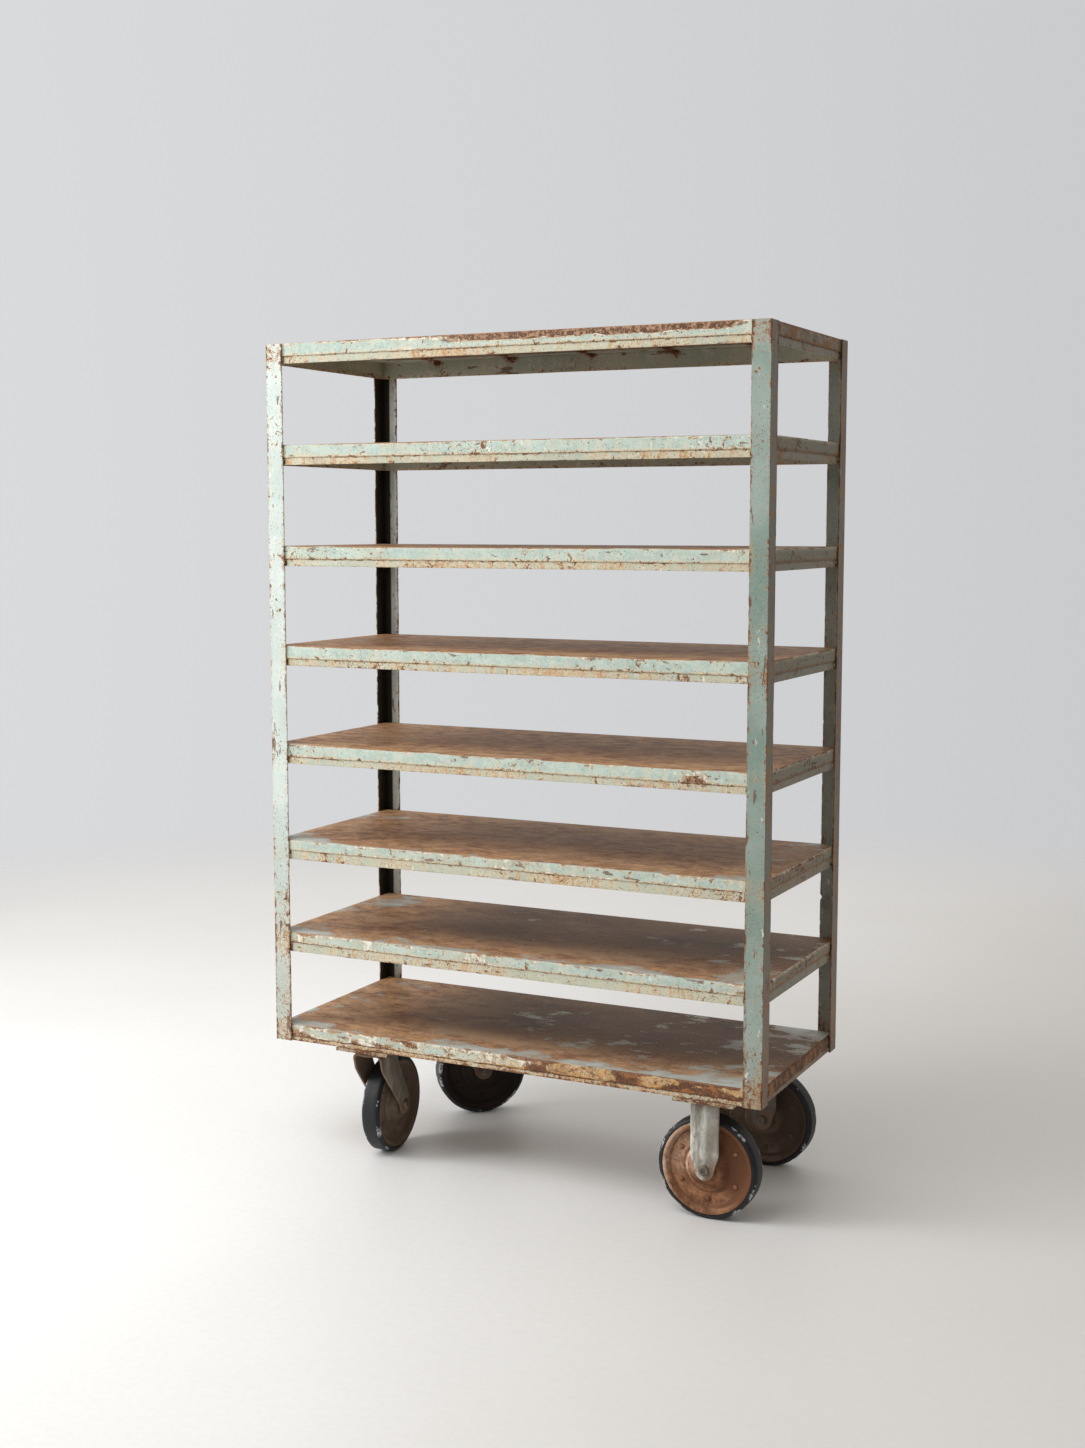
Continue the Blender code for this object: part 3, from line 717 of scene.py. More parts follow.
def flange_stain(number, side, x, share):
    stain = 0.16 + 0.45 * smooth(0.7, 1.0, share) + (0.35 if side == "right" else 0.0)
    stain += 0.66 * smooth(-0.15, 0.15, x) if number == 1 else 0.0
    return min(stain, 1.0)


def side_of(px, py):
    """Side of the rectangle that a place from Plan.places() lies on."""
    if abs(py) == 1.0:
        return "front" if py < 0 else "rear"
    return "right" if px > 0 else "left"


def deck_top(shape, number, plan, count_x, count_y):
    """Grid of the flat part of a deck's top. Gives back its rim, counter-clockwise."""
    grid = {}
    for i in range(count_x + 1):
        for j in range(count_y + 1):
            x = (plan.half_x - FOLD_RADIUS) * (2 * i / count_x - 1)
            y = (plan.half_y - FOLD_RADIUS) * (2 * j / count_y - 1)
            point = (plan.x + x, plan.y + y, plan.high - deck_sag(number, x, y, plan))
            wear, shade = deck_top_wear(number, x, y, plan), deck_shade(number, x, y, plan)
            # The deck top's painted shade is stored in its stain field.
            grid[i, j] = shape.add(point, wear, shade, top=1.0)
    for i in range(count_x):
        for j in range(count_y):
            shape.faces.append((grid[i, j], grid[i + 1, j], grid[i + 1, j + 1], grid[i, j + 1]))
    front = [grid[i, 0] for i in range(count_x)]
    right = [grid[count_x, j] for j in range(count_y)]
    rear = [grid[i, count_y] for i in range(count_x, 0, -1)]
    left = [grid[0, j] for j in range(count_y, 0, -1)]
    return front + right + rear + left


def deck_edge_row(shape, number, plan, places, inset, fall):
    """Points round a deck's folded edge, at one distance below its top."""
    share = fall / plan.drop
    row = []
    for px, py in places:
        x, y = px * (plan.half_x - inset), py * (plan.half_y - inset)
        side = side_of(px, py)
        ripple = 0.0007 * bumps(x * 9 + y * 7, number * 5, fall * 30) * smooth(0.004, 0.012, fall)
        lift = 0.0009 * bumps(x * 26, y * 26, number) * smooth(0.9, 1.0, share)
        wear = flange_wear(number, side, x, share)
        if fall < FOLD_RADIUS / 2:
            wear = max(wear, 0.6 * deck_top_wear(number, x, y, plan))
        # Painted shade on the right-hand folded edge, which is turned from the light.
        shade_and_grime = 0.55 * smooth(0.0, 0.006, fall) if side == "right" else 0.0
        top = 0.0 if side == "right" else smooth(FOLD_RADIUS * 0.6, 0.0, fall)
        point = (plan.x + x, plan.y + y * (1 - ripple / plan.half_y), plan.high - fall + lift)
        row.append(shape.add(point, wear, flange_stain(number, side, x, share), shade_and_grime, top))
    return row


def add_deck(number, material):
    """One sheet with its edges folded down over the rails."""
    name = "deck_%d" % number
    plan = Plan(name)
    places, count_x, count_y = plan.places(DECK_STEP)
    turns = [math.radians(degrees) for degrees in (18, 36, 54, 72, 90)]
    folds = [(FOLD_RADIUS * (1 - math.sin(a)), FOLD_RADIUS * (1 - math.cos(a))) for a in turns]
    falls = [FOLD_RADIUS + (plan.drop - FOLD_RADIUS) * share for share in (0.2, 0.45, 0.7, 0.9, 1.0)]
    shape = Shape()
    rows = [deck_top(shape, number, plan, count_x, count_y)]
    for inset, fall in folds + [(0.0, fall) for fall in falls]:
        rows.append(deck_edge_row(shape, number, plan, places, inset, fall))
    shape.bridge(rows)
    item = shape.build(name + "_sheet", material)
    solid = item.modifiers.new("sheet", "SOLIDIFY")
    solid.thickness = DECK_SHEET
    solid.offset = -1.0
    return install(item, "rack", "worn_deck", name)


def rail_section(plan, leg_at_top, flange_z):
    """Angle's section as (inset from the outer face, z, 1 on the outer face and free edge)."""
    t, soft = ANGLE_THICKNESS, 0.0005
    base, far, sign = (plan.high, plan.low, -1) if leg_at_top else (plan.low, plan.high, 1)
    relief = 0.0026 if leg_at_top else soft
    span = far - base
    seam_rows = [flange_z + 0.0010, flange_z - 0.0004, flange_z - 0.0018, flange_z - 0.0036]
    heights = sorted([base + span * 0.3, base + span * 0.85] + seam_rows, reverse=sign < 0)
    outer = [(0.0, base + sign * relief)] + [(0.0, z) for z in heights] + [(0.0, far - sign * soft)]
    free_edge = [(soft, far), (t - soft, far), (t, far - sign * soft)]
    inner = [(t, base + span * 0.6), (t, base + sign * t * 1.6), (t * 1.6, base + sign * t)]
    leg = [(RAIL_LEG * 0.55, base + sign * t), (RAIL_LEG - soft, base + sign * t),
           (RAIL_LEG, base + sign * (t - soft)), (RAIL_LEG, base + sign * soft), (RAIL_LEG - soft, base)]
    back = [(RAIL_LEG * 0.5, base), (relief, base)]
    return [(a, z, 1.0) for a, z in outer + free_edge] + [(a, z, 0.0) for a, z in inner + leg + back]


def tack_spot(x, number):
    """Rust at the tack welds on the inside of a rail, at regular places along it."""
    offset = (x + 0.05 * number) / TACK_PITCH
    return smooth(0.13, 0.02, abs(offset - round(offset)))


def add_shelf_frame(number, paint):
    """Ring of angle iron under a deck; the bottom one has its flat leg below, the others above."""
    name = "shelf_frame_%d" % number
    plan = Plan(name)
    places, _, _ = plan.places(RAIL_STEP)
    leg_at_top = number > 1
    free_z, bend_side = (plan.low, 1) if leg_at_top else (plan.high, -1)
    flange_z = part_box("deck_%d" % number)[0].z
    lowest = 1.0 if number == 1 else 0.0
    rings = []
    for inset, z, outer in rail_section(plan, leg_at_top, flange_z):
        free = smooth(0.016, 0.0, abs(z - free_z))
        bottom = outer * smooth(0.004, 0.001, z - plan.low)
        ring = []
        for px, py in places:
            x, y = px * (plan.half_x - inset), py * (plan.half_y - inset)
            bend = bend_side * 0.0008 * bumps(x * 5, y * 5, number * 3.3) * free
            rusty = 0.75 + 0.5 * wobble(x * 8, y * 8, number)
            seam = outer * smooth(0.0034, 0.0008, abs(z - flange_z)) * rusty
            spot = tack_spot(x, number) * smooth(0.030, 0.0, plan.high - z) * (1 - outer)
            wear = 0.08 + 0.16 * bottom + 0.50 * spot + 0.30 * seam + 0.14 * lowest
            stain = outer * (0.55 + 0.35 * wobble(x * 4, y * 4, number)) + 0.5 * spot + 0.2 * lowest
            # Painted shade on the outer face of the right-hand rail, which is turned from the light.
            shade_and_grime = 0.55 * outer if px == 1.0 else 0.0
            ring.append(((plan.x + x, plan.y + y, z + bend), wear, unit(stain), shade_and_grime))
        rings.append(ring)
    shape = Shape()
    shape.loft(rings, closed=True)
    item = shape.build(name + "_angle", paint)
    return install(item, "rack", "mint_paint", name)


def weld_bead(shape, x, y, z0, z1, seed):
    """Upright rippled bead with round ends."""
    start, end = Vector((x, y, z0)), Vector((x, y, z1))
    axis = (end - start).normalized()
    across = axis.orthogonal().normalized()
    other = axis.cross(across)
    count = max(8, round((end - start).length / 0.0011))
    rings = []
    for i in range(count + 1):
        share = i / count
        taper = math.sqrt(max(1 - (2 * share - 1) ** 6, 0.02))
        ripple = 1 + 0.13 * math.sin(share * count * 1.35 + seed) + 0.15 * wobble(share * 5, seed)
        centre = start.lerp(end, share)
        spread = WELD_RADIUS * taper * ripple
        rings.append([(centre + (across * c + other * s) * spread, 0.3, 0.6) for _, c, s in circle(10)])
    shape.loft(rings)


def add_welds(front, end, material):
    """Beads where each rail meets the edges of one upright's two legs."""
    _, low, high, side_x, side_y = upright_of(front, end)
    toe_x, toe_y = outward(low.x, high.x, -side_x), outward(low.y, high.y, -side_y)
    shape = Shape()
    for number in SHELVES:
        rail_low, rail_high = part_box("shelf_frame_%d" % number)
        deck_low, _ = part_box("deck_%d" % number)
        face_x, face_y = outward(rail_low.x, rail_high.x, side_x), outward(rail_low.y, rail_high.y, side_y)
        z0, z1 = rail_low.z + 0.002, max(deck_low.z - 0.001, rail_low.z + 0.011)
        seed = number * 2.1 + side_x + 3 * side_y
        weld_bead(shape, toe_x - side_x * WELD_SINK, face_y + side_y * WELD_PROUD, z0, z1, seed)
        weld_bead(shape, face_x + side_x * WELD_PROUD, toe_y - side_y * WELD_SINK, z0, z1, seed + 1)
    item = shape.build("weld_beads_%s_%s" % (front, end), material, sharp=60)
    return install(item, "rack", "mint_paint")


# ---------------------------------------------------------------- casters


def wheel_place(prefix):
    """Matrix from the wheel's own frame (local Y along the axle, local X trailing) to the rack's."""
    joint = next(joint for joint in frame["joints"] if joint["name"] == prefix + "_wheel_spin")
    axle = Vector(joint["axis"]).normalized()
    trail = axle.cross(Vector((0, 0, 1))).normalized()
    basis = Matrix((trail, axle, (0, 0, 1))).transposed().to_4x4()
    return Matrix.Translation(Vector(joint["pos_m"])) @ basis


def is_swivel(prefix):
    return prefix in SWIVELS


def fork_body(prefix):
    return prefix + "_swivel" if is_swivel(prefix) else "rack"


def soft_reading(points, z):
    """along() with its corners eased over 8 mm."""
    return sum(along(points, z + d) for d in (-0.004, -0.002, 0.0, 0.002, 0.004)) / 5


def leg_edges(prefix, z, axle_z):
    """Front and back edge of a fork leg at height z above the floor, from the axle."""
    if z < axle_z:
        half = math.sqrt(max(FORK_END_RADIUS ** 2 - (axle_z - z) ** 2, 0.0))
        return -half, half
    if is_swivel(prefix):
        front = ((0.2300, -0.0460), (0.1990, -0.0370), (0.1740, -0.0170), (0.1390, 0.0130),
                 (axle_z, TRAIL - FORK_END_RADIUS))
        back = ((0.2300, 0.0300), (0.2090, 0.0320), (0.1710, 0.0524), (0.1300, 0.0767),
                (axle_z, TRAIL + FORK_END_RADIUS))
        return soft_reading(front, z) - TRAIL, soft_reading(back, z) - TRAIL
    half = soft_reading(((0.2400, 0.0290), (0.1300, 0.0290), (axle_z, FORK_END_RADIUS)), z)
    return -half, half


def fork_rows(prefix, crown_z, axle_z):
    """Rows over the bent strip: inside point (y, z), outward (y, z), edges, crease share."""
    bend_z = crown_z - FORK_BEND
    rows = []
    for degrees in range(6, 90, 7):
        z = axle_z - FORK_END_RADIUS * math.cos(math.radians(degrees))
        rows.append((FORK_HALF_GAP, z, 1.0, 0.0, leg_edges(prefix, z, axle_z), 0.0))
    start = axle_z + 0.001
    steps = 34
    for i in range(steps):
        z = start + (bend_z - start) * i / steps
        crease = smooth(axle_z + 0.010, axle_z + 0.030, z)
        rows.append((FORK_HALF_GAP, z, 1.0, 0.0, leg_edges(prefix, z, axle_z), crease))
    for degrees in range(0, 91, 10):
        turn = math.radians(degrees)
        y = FORK_HALF_GAP - FORK_BEND + FORK_BEND * math.cos(turn)
        z = bend_z + FORK_BEND * math.sin(turn)
        rows.append((y, z, math.cos(turn), math.sin(turn), leg_edges(prefix, z, axle_z), 1 - degrees / 90))
    front, back = leg_edges(prefix, crown_z, axle_z)
    flat_half = FORK_HALF_GAP - FORK_BEND
    for i in (1, 2, 3, 4):
        bulge = math.sin(math.pi / 2 * i / 4) * (CROWN_BULGE if is_swivel(prefix) else 0.0)
        rows.append((flat_half * (1 - i / 4), crown_z, 0.0, 1.0, (front - bulge, back + bulge), 0.0))
    return rows + [(-y, z, -ny, nz, edges, crease) for y, z, ny, nz, edges, crease in rows[-2::-1]]


def strip_columns():
    """(share across the strip, height of the crease there), with extra columns at the long edges."""
    half = [(0.0, 0.0), (0.02, 0.0), (0.10, 0.0), (0.22, 0.30), (0.36, 0.66)]
    return half + [(0.5, 1.0)] + [(1 - share, ridge) for share, ridge in half[::-1]]


def add_fork(prefix, material):
    """Strip bent over the wheel, with a crease down each leg and painted shade on its trailing half."""
    node = prefix + "_fork"
    place = wheel_place(prefix)
    axle_z = place.translation.z
    crown_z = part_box(node)[1].z - FORK_SHEET
    rings = []
    for y, z, ny, nz, (front, back), crease in fork_rows(prefix, crown_z, axle_z):
        inside, outside = [], []
        low_end = smooth(axle_z + 0.05, axle_z - 0.02, z)
        top_end = smooth(crown_z - 0.03, crown_z, z)
        for share, ridge in strip_columns():
            x = front + share * (back - front)
            lift = FORK_CREASE * ridge * crease
            edge = 1.0 if share in (0.0, 1.0) else 0.0
            inner_lift, outer_lift = lift + 0.0008 * edge, lift + FORK_SHEET - 0.0010 * edge
            wear = 0.25 * edge + 0.46 * low_end + 0.15 * top_end
            # Painted shade on the trailing half, the crease's facet turned from the light; it is stored in
            # the stain field.
            shade_and_grime = smooth(0.46, 0.62, share)
            inside.append(((x, y + ny * inner_lift, z + nz * inner_lift - axle_z), wear + 0.3, 1.0))
            outside.append(((x, y + ny * outer_lift, z + nz * outer_lift - axle_z), wear, shade_and_grime))
        rings.append(inside + outside[::-1])
    shape = Shape()
    shape.loft(rings)
    item = shape.moved(place).build(prefix + "_fork_pressing", material, sharp=45)
    return install(item, fork_body(prefix), "caster_paint", node)


def add_axle_bolt(prefix, material):
    """Cupped round head on the near side, threaded end on the far side."""
    head = ((0.0060, -0.0020), (0.0098, -0.0002), (0.0100, 0.0008), (0.0100, 0.0036), (0.0095, 0.0045),
            (0.0088, 0.0050), (0.0052, 0.0050), (0.0046, 0.0044), (0.0043, 0.0030), (0.0002, 0.0026))
    tip = FACE + 0.0098
    thread = []
    for i in range(9):
        y = tip - 0.0009 - i * 0.0012
        thread += [(0.0059, y), (0.0053, y - 0.0006)]
    profile = [(r, -FACE - h) for r, h in head[::-1]] + thread[::-1] + [(0.0050, tip), (0.0002, tip)]
    shape = Shape()
    shape.turn(profile, 40, wear=0.3)
    item = shape.moved(wheel_place(prefix)).build(prefix + "_axle_bolt_turned", material, sharp=35)
    return install(item, fork_body(prefix), "bare_steel", prefix + "_axle_bolt")


def hexed_ring(radius, hexed, place):
    """Ring round an axis, or round the hexagon whose corners lie at the radius."""
    ring = []
    for angle, c, s in circle(HEX_SEGMENTS):
        inside = (angle % (math.pi / 3)) - math.pi / 6
        r = radius * math.cos(math.pi / 6) / math.cos(inside) if hexed else radius
        ring.append((place(r * c, r * s), 0.3, 0.3))
    return ring


def add_axle_nut(prefix, material):
    """Chamfered hexagon nut on the far side of the fork."""
    bore, radius = 0.0061, 0.0120
    flat = radius * math.cos(math.pi / 6)
    low, high = FACE, FACE + 0.0085
    profile = ((bore, low, 0), (flat * 0.97, low, 0), (radius, low + 0.0010, 1), (radius, high - 0.0012, 1),
               (flat * 0.94, high, 0), (bore, high, 0))
    shape = Shape()
    shape.loft([hexed_ring(r, hexed, lambda a, b: (a, y, b)) for r, y, hexed in profile], closed=True)
    item = shape.moved(wheel_place(prefix)).build(prefix + "_axle_nut_hexagon", material, sharp=28)
    return install(item, fork_body(prefix), "bare_steel", prefix + "_axle_nut")


def disc_fields(radius):
    """(painted highlight, darkening) at a radius: highlights on the dome and on the rings at its foot and
    rim, darker hollows.
    """
    ring = smooth(0.0040, 0.0010, abs(radius - 0.0440)) + smooth(0.0835, 0.0890, radius)
    dome = smooth(0.030, 0.024, radius)
    hollow = smooth(0.006, 0.001, abs(radius - 0.0500)) + smooth(0.006, 0.001, abs(radius - 0.0785))
    return min(0.55 * ring + 0.25 * dome, 1.0), min(0.6 * hollow, 1.0)


def add_disc(prefix, side, material):
    """Pressed disc on one side of a wheel, with its ring of rivets; side is -1 for the outer one."""
    node = "%s_wheel_%s_disc" % (prefix, "outer" if side < 0 else "inner")
    outside = eased(list(DISC_OUTSIDE))
    inside = [(radius, height - DISC_SHEET) for radius, height in outside[::-1]]
    rings = []
    for radius, height in outside + inside:
        bright, dirt = disc_fields(radius)
        ring = []
        for angle, c, s in circle(96):
            dent = 0.0004 * bumps(3 * c, 3 * s, radius * 40 + side)
            # Painted light on the disc: patchy highlights on the rings, a lighter side opposite the shade
            # direction, and painted shade towards it; the shade goes into the stain field.
            worn = 0.5 + 0.9 * wobble(2 * c, 2 * s, 4.0 + side)
            lit_side = 0.55 * smooth(0.2, 1.0, math.cos(angle - SHADED_SIDE - 2.6))
            shade_share = smooth(-0.1, 0.9, math.cos(angle - SHADED_SIDE)) * smooth(0.020, 0.045, radius)
            painted_highlight = min(bright * unit(worn - shade_share) + lit_side, 1.0)
            point = (radius * c, side * (height - dent), radius * s)
            ring.append((point, painted_highlight, min(dirt + 0.75 * shade_share, 1.0)))
        rings.append(ring)
    shape = Shape()
    shape.loft(rings, closed=True)
    for k in range(RIVET_COUNT):
        turn = 2 * math.pi * (k + 0.5) / RIVET_COUNT
        add_rivet(shape, RIVET_CIRCLE * math.cos(turn), RIVET_CIRCLE * math.sin(turn), side)
    item = shape.moved(wheel_place(prefix)).build(node + "_pressing", material, sharp=50)
    return install(item, prefix + "_wheel", "wheel_steel", node)


def add_rivet(shape, x, z, side):
    """Domed head on the web, whose foot is sunk in it."""
    profile = [(RIVET_RADIUS, DISC_WEB - 0.0010)]
    for degrees in (8, 25, 45, 65, 82):
        angle = math.radians(degrees)
        profile.append((RIVET_RADIUS * math.cos(angle), DISC_WEB + RIVET_HEIGHT * math.sin(angle)))
    rings = []
    for radius, height in profile:
        # Painted shadow round the rivet's sunken foot, carried by the stain field.
        dirt = 1.0 if height < DISC_WEB + 0.0014 else 0.0
        points = [(x + radius * c, side * height, z + radius * s) for _, c, s in circle(16)]
        rings.append([(point, 0.20, dirt) for point in points])
    shape.loft(rings)


def add_tyre(prefix, material):
    """Solid tyre: flat tread, rounded edges and bevelled shoulders with torn nicks."""
    node = prefix + "_tyre"
    tread = wheel_place(prefix).translation.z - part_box(node)[0].z - 0.0001
    edge = 0.0164
    half = [(0.0758, 0.0055), (0.0858, 0.0155), (0.0922, 0.0165), (0.0926, 0.0200), (0.0932, 0.0209),
            (0.0946, 0.0206), (0.0985, 0.0186), (tread - 0.0022, 0.0172), (tread - 0.0007, edge),
            (tread, edge - 0.0013), (tread, 0.0085), (tread, 0.0)]
    profile = half + [(radius, -width) for radius, width in half[-2::-1]]
    seed = len(prefix) * 1.3
    rings = []
    for radius, width in profile:
        side = smooth(0.0125, 0.0160, abs(width))
        shoulder = smooth(0.0935, 0.0955, radius) * smooth(0.0125, 0.0155, abs(width))
        rim_line = smooth(0.0012, 0.0003, abs(abs(width) - edge - 0.0004)) * smooth(0.099, 0.100, radius)
        ring = []
        for _, c, s in circle(160):
            around = Vector((-7 * c, 7 * s, seed + math.copysign(3, width)))
            nick = max(noise.noise(around * 1.7) - 0.18, 0.0) * 0.0030 * smooth(0.0985, tread, radius) * side
            r = radius - nick
            patch = 0.30 + 2.6 * noise.noise(around * 0.33)
            ground = 0.5 + 1.6 * noise.noise(around * 0.8)
            wear = shoulder * patch + 0.45 * rim_line * ground + nick * 260
            flat = smooth(tread - 0.0006, tread - 0.0002, r)
            ring.append(((r * c, width, r * s), min(max(wear, 0.0), 0.78), 0.6 * flat))
        rings.append(ring)
    shape = Shape()
    shape.loft(rings, closed=True)
    item = shape.moved(wheel_place(prefix)).build(node + "_solid_rubber", material, sharp=50)
    return install(item, prefix + "_wheel", "tyre_rubber", node)


def add_race(prefix, material):
    """Swivel race with a groove round its edge."""
    node = prefix + "_swivel_race"
    plan = Plan(node)
    outer, bore, soft, groove = plan.half_x, 0.0200, 0.0003, 0.0011
    middle = (plan.low + plan.high) / 2
    profile = [(bore, plan.low), (outer - soft, plan.low), (outer, plan.low + soft)]
    for degrees in (-80, -40, 0, 40, 80):
        angle = math.radians(degrees)
        profile.append((outer - groove * math.cos(angle), middle + groove * math.sin(angle)))
    profile += [(outer, plan.high - soft), (outer - soft, plan.high), (bore, plan.high)]
    shape = Shape()
    shape.turn(profile, 96, wear=0.3)
    place = Matrix.Translation((plan.x, plan.y, 0.0)) @ Matrix.Rotation(math.pi / 2, 4, "X")
    item = shape.moved(place).build(node + "_ring", material, sharp=35)
    return install(item, "rack", "bare_steel", node)


def add_kingpin(prefix, material):
    """Kingpin with its round head above the plate and a hexagon nut under the crown."""
    node = prefix + "_kingpin"
    plan = Plan(node)
    nut_low = plan.low
    nut_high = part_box(prefix + "_fork")[1].z - FORK_SHEET - 0.0003
    head_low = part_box(prefix + "_caster_plate")[1].z + 0.0003
    pin, nut, head = 0.0085, 0.0134, 0.0150
    profile = ((0.0002, nut_low, 0), (0.0075, nut_low, 0), (0.0078, nut_low + 0.0016, 0),
               (0.0120, nut_low + 0.0018, 0), (nut, nut_low + 0.0028, 1), (nut, nut_high, 1),
               (pin, nut_high, 0), (pin, head_low, 0), (head - 0.0002, head_low, 0),
               (head, head_low + 0.0010, 0), (head - 0.0004, plan.high - 0.0025, 0),
               (0.0115, plan.high - 0.0004, 0), (0.0002, plan.high, 0))
    shape = Shape()
    shape.loft([hexed_ring(r, hexed, lambda a, b: (plan.x + a, plan.y + b, z)) for r, z, hexed in profile])
    item = shape.build(node + "_forged", material, sharp=28)
    return install(item, "rack", "bare_steel", node)


def finish_node(name, material, edge=0.0006):
    """Carry a CAD node over with its material and slightly rounded edges."""
    item = frame["nodes"][name]
    item.data.materials.clear()
    item.data.materials.append(material)
    bevel = item.modifiers.new("edges", "BEVEL")
    bevel.width = edge
    bevel.segments = 2
    bevel.limit_method = "ANGLE"
    bevel.angle_limit = math.radians(40)


# ---------------------------------------------------------------- stage


def floor_material():
    """Pale floor, with painted shade making it darker and browner towards the right, whose far rim fades
    into the background.
    """
    g = Graph("pale_floor")
    cloud = g.noise(0.8, 3.0, 0.5)
    scuff = g.noise(5.0, 6.0, 0.7, stretch=(0.4, 1.0, 1.0))
    grain = g.noise(70.0, 6.0, 0.75)
    color = g.mix(g.step(cloud, 0.3, 0.7), (0.84, 0.835, 0.83), (0.88, 0.88, 0.88))
    color = g.mix(g.step(scuff, 0.62, 0.85, 0.10), color, (0.60, 0.57, 0.53))
    color = g.mix(g.step(grain, 0.40, 0.66, 0.12), color, (0.62, 0.60, 0.57))
    # Painted shade: darker and browner towards the right, away from the lamps.
    spread = g.node("SeparateXYZ")
    g.wire(spread.inputs[0], g.place)
    color = g.mix(g.step(spread.outputs["X"], -0.6, 1.6, 0.55), color, (0.49, 0.45, 0.42))
    g.finish(color, 0.45, scuff, 0.0002, gloss=0.35)
    distance = g.node("VectorMath")
    distance.operation = "LENGTH"
    g.wire(distance.inputs[0], g.place)
    blend = g.node("MixShader")
    g.wire(blend.inputs["Fac"], g.step(distance.outputs["Value"], 2.7, 4.6))
    g.wire(blend.inputs[1], g.shader.outputs[0])
    g.wire(blend.inputs[2], g.node("BsdfTransparent").outputs[0])
    g.wire(g.tree.nodes["Material Output"].inputs["Surface"], blend.outputs[0])
    return g.material


def add_floor():
    shape = Shape()
    rows = []
    for radius in (0.02, 1.0, 2.0, 3.0, 4.8):
        rows.append([shape.add((radius * c, radius * s, 0.0)) for _, c, s in circle(96)])
    shape.bridge(rows)
    shape.faces.append(tuple(rows[0]))
    shape.build("studio_floor", floor_material())


def add_light(name, place, target, size, power, color):
    data = bpy.data.lights.new(name, "AREA")
    data.shape = "RECTANGLE"
    data.size, data.size_y = size
    data.energy = power
    data.color = color
    lamp = bpy.data.objects.new(name, data)
    lamp.location = place
    lamp.rotation_euler = (Vector(target) - Vector(place)).to_track_quat("-Z", "Y").to_euler()
    bpy.context.scene.collection.objects.link(lamp)


def add_world():
    """Grey-white backdrop with painted light, brighter towards the left, and an ambient light that comes
    mostly from the upper left.
    """
    world = bpy.data.worlds.new("studio")
    world.use_nodes = True
    tree = world.node_tree
    place = tree.nodes.new("ShaderNodeTexCoord").outputs["Generated"]

    across = tree.nodes.new("ShaderNodeSeparateXYZ")
    shade = tree.nodes.new("ShaderNodeMapRange")
    shade.inputs["From Min"].default_value = -0.80
    shade.inputs["From Max"].default_value = 0.10
    shade.inputs["To Min"].default_value = BACKDROP_LEFT
    shade.inputs["To Max"].default_value = BACKDROP_RIGHT
    backdrop = tree.nodes["Background"]
    backdrop.inputs["Color"].default_value = (0.972, 0.980, 1.0, 1.0)
    tree.links.new(place, across.inputs[0])
    tree.links.new(across.outputs["X"], shade.inputs["Value"])
    tree.links.new(shade.outputs["Result"], backdrop.inputs["Strength"])

    facing = tree.nodes.new("ShaderNodeVectorMath")
    facing.operation = "DOT_PRODUCT"
    facing.inputs[1].default_value = AMBIENT_FROM
    fall = tree.nodes.new("ShaderNodeMapRange")
    fall.inputs["From Min"].default_value = -1.0
    fall.inputs["To Min"].default_value = AMBIENT_AWAY
    fall.inputs["To Max"].default_value = AMBIENT_TOWARDS
    ambient = tree.nodes.new("ShaderNodeBackground")
    ambient.inputs["Color"].default_value = (1.0, 0.975, 0.935, 1.0)
    tree.links.new(place, facing.inputs[0])
    tree.links.new(facing.outputs["Value"], fall.inputs["Value"])
    tree.links.new(fall.outputs["Result"], ambient.inputs["Strength"])

    path = tree.nodes.new("ShaderNodeLightPath")
    blend = tree.nodes.new("ShaderNodeMixShader")
    tree.links.new(path.outputs["Is Camera Ray"], blend.inputs["Fac"])
    tree.links.new(ambient.outputs[0], blend.inputs[1])
    tree.links.new(backdrop.outputs[0], blend.inputs[2])
    tree.links.new(blend.outputs[0], tree.nodes["World Output"].inputs["Surface"])
    bpy.context.scene.world = world


def add_camera():
    data = bpy.data.cameras.new("camera")
    data.lens = 45.67
    camera = bpy.data.objects.new("camera", data)
    camera.location = (1.6555, RACK_Y - 3.3958, 1.3368)
    camera.rotation_euler = (math.radians(90 - 6.232), 0.0, math.radians(26.34))
    bpy.context.scene.collection.objects.link(camera)
    bpy.context.scene.camera = camera


def add_stage():
    add_floor()
    add_world()
    add_light("window", (-2.9, -1.9, 2.0), (0.0, 0.0, 0.75), (1.3, 1.7), 70.0, (0.965, 0.99, 1.0))
    add_light("overhead", (-0.6, -2.1, 3.6), (0.0, 0.0, 0.9), (2.2, 1.6), 48.0, (0.98, 0.995, 1.0))
    bpy.context.scene.view_settings.view_transform = "Standard"


# ---------------------------------------------------------------- build


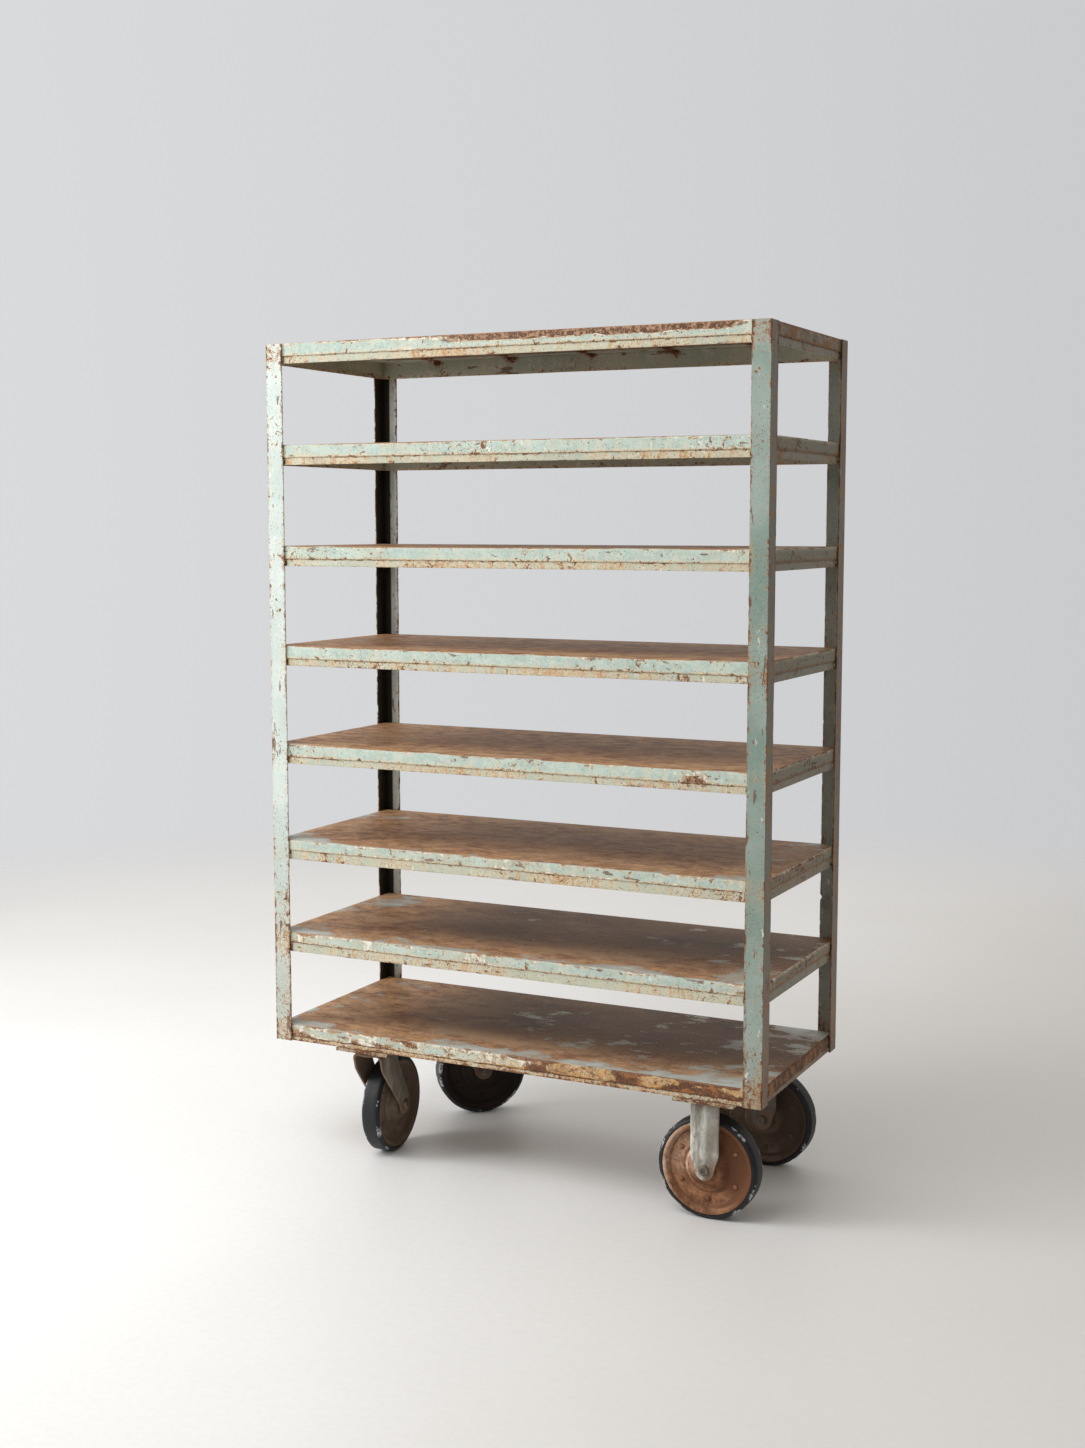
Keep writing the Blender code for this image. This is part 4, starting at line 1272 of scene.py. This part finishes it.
def build_rack():
    left_paint = painted("paint_left", (0.0, 0.0, 0.0), light=(0.65, 0.72, 0.68), deep=(0.50, 0.59, 0.56),
                         along_z=True)
    right_paint = painted("paint_right", (4.0, 1.0, 2.0), light=(0.340, 0.410, 0.375),
                          deep=(0.200, 0.280, 0.240), aged=(0.40, 0.36, 0.26), along_z=True)
    rear_paint = painted("paint_rear", (2.0, 5.0, 1.0), dirt=0.10, light=(0.34, 0.39, 0.35),
                         deep=(0.20, 0.25, 0.23), aged=(0.40, 0.31, 0.19), along_z=True)
    rail_paint = painted("paint_rails", (7.0, 2.0, 5.0), light=(0.52, 0.54, 0.43), deep=(0.38, 0.44, 0.37))
    add_upright("front", "left", left_paint, foot_reach=0.60)
    add_upright("front", "right", right_paint, side_stain=0.40, foot_reach=0.20)
    add_upright("rear", "left", left_paint, inner_shade=1.0)
    add_upright("rear", "right", rear_paint, notches=REAR_NOTCHES, side_stain=0.50, foot_reach=0.20)
    deck = deck_material()
    weld = weld_material()
    for number in SHELVES:
        add_deck(number, deck)
        add_shelf_frame(number, rail_paint)
    for front in ("front", "rear"):
        for end in ("left", "right"):
            add_welds(front, end, weld)
    for end in ("left", "right"):
        for number in (1, 2):
            finish_node("cross_bar_%s_%d" % (end, number), rear_paint)


def build_casters():
    steel = steel_material()
    plate = painted("plate_paint", (2.0, 8.0, 1.0), chip=0.50, light=(0.50, 0.46, 0.34),
                    deep=(0.36, 0.34, 0.27))
    # Light and dark of each fork's paint, and bright, body and dark of each wheel's rust; the near-black
    # rear_left colours are partly painted shade under the rack
    forks = {
        "front_left": ((0.26, 0.225, 0.175), (0.13, 0.105, 0.080)),
        "rear_left": ((0.14, 0.12, 0.095), (0.06, 0.05, 0.04)),
        "front_right": ((0.76, 0.76, 0.70), (0.21, 0.185, 0.15)),
        "rear_right": ((0.24, 0.21, 0.17), (0.12, 0.10, 0.08)),
    }
    discs = {
        "front_left": ((0.22, 0.170, 0.120), (0.19, 0.135, 0.090), (0.100, 0.064, 0.040)),
        "rear_left": ((0.050, 0.026, 0.016), (0.030, 0.014, 0.009), (0.012, 0.007, 0.005)),
        "front_right": ((0.72, 0.50, 0.36), (0.38, 0.180, 0.088), (0.115, 0.042, 0.016)),
        "rear_right": ((0.26, 0.18, 0.12), (0.15, 0.10, 0.07), (0.060, 0.035, 0.022)),
    }
    for index, prefix in enumerate(CASTERS):
        offset = (index * 3.0, index * 5.0, index * 2.0)
        disc = disc_material(prefix + "_disc_rust", *discs[prefix], offset)
        add_fork(prefix, caster_material(prefix + "_fork_paint", *forks[prefix], offset))
        add_axle_bolt(prefix, steel)
        add_axle_nut(prefix, steel)
        add_disc(prefix, -1, disc)
        add_disc(prefix, 1, disc)
        add_tyre(prefix, tyre_material(prefix + "_rubber", offset))
        finish_node(prefix + "_wheel_sleeve", steel, edge=0.0003)
        finish_node(prefix + "_caster_plate", plate, edge=0.0010)
        if is_swivel(prefix):
            add_race(prefix, steel)
            add_kingpin(prefix, steel)


build_rack()
build_casters()
add_camera()
add_stage()
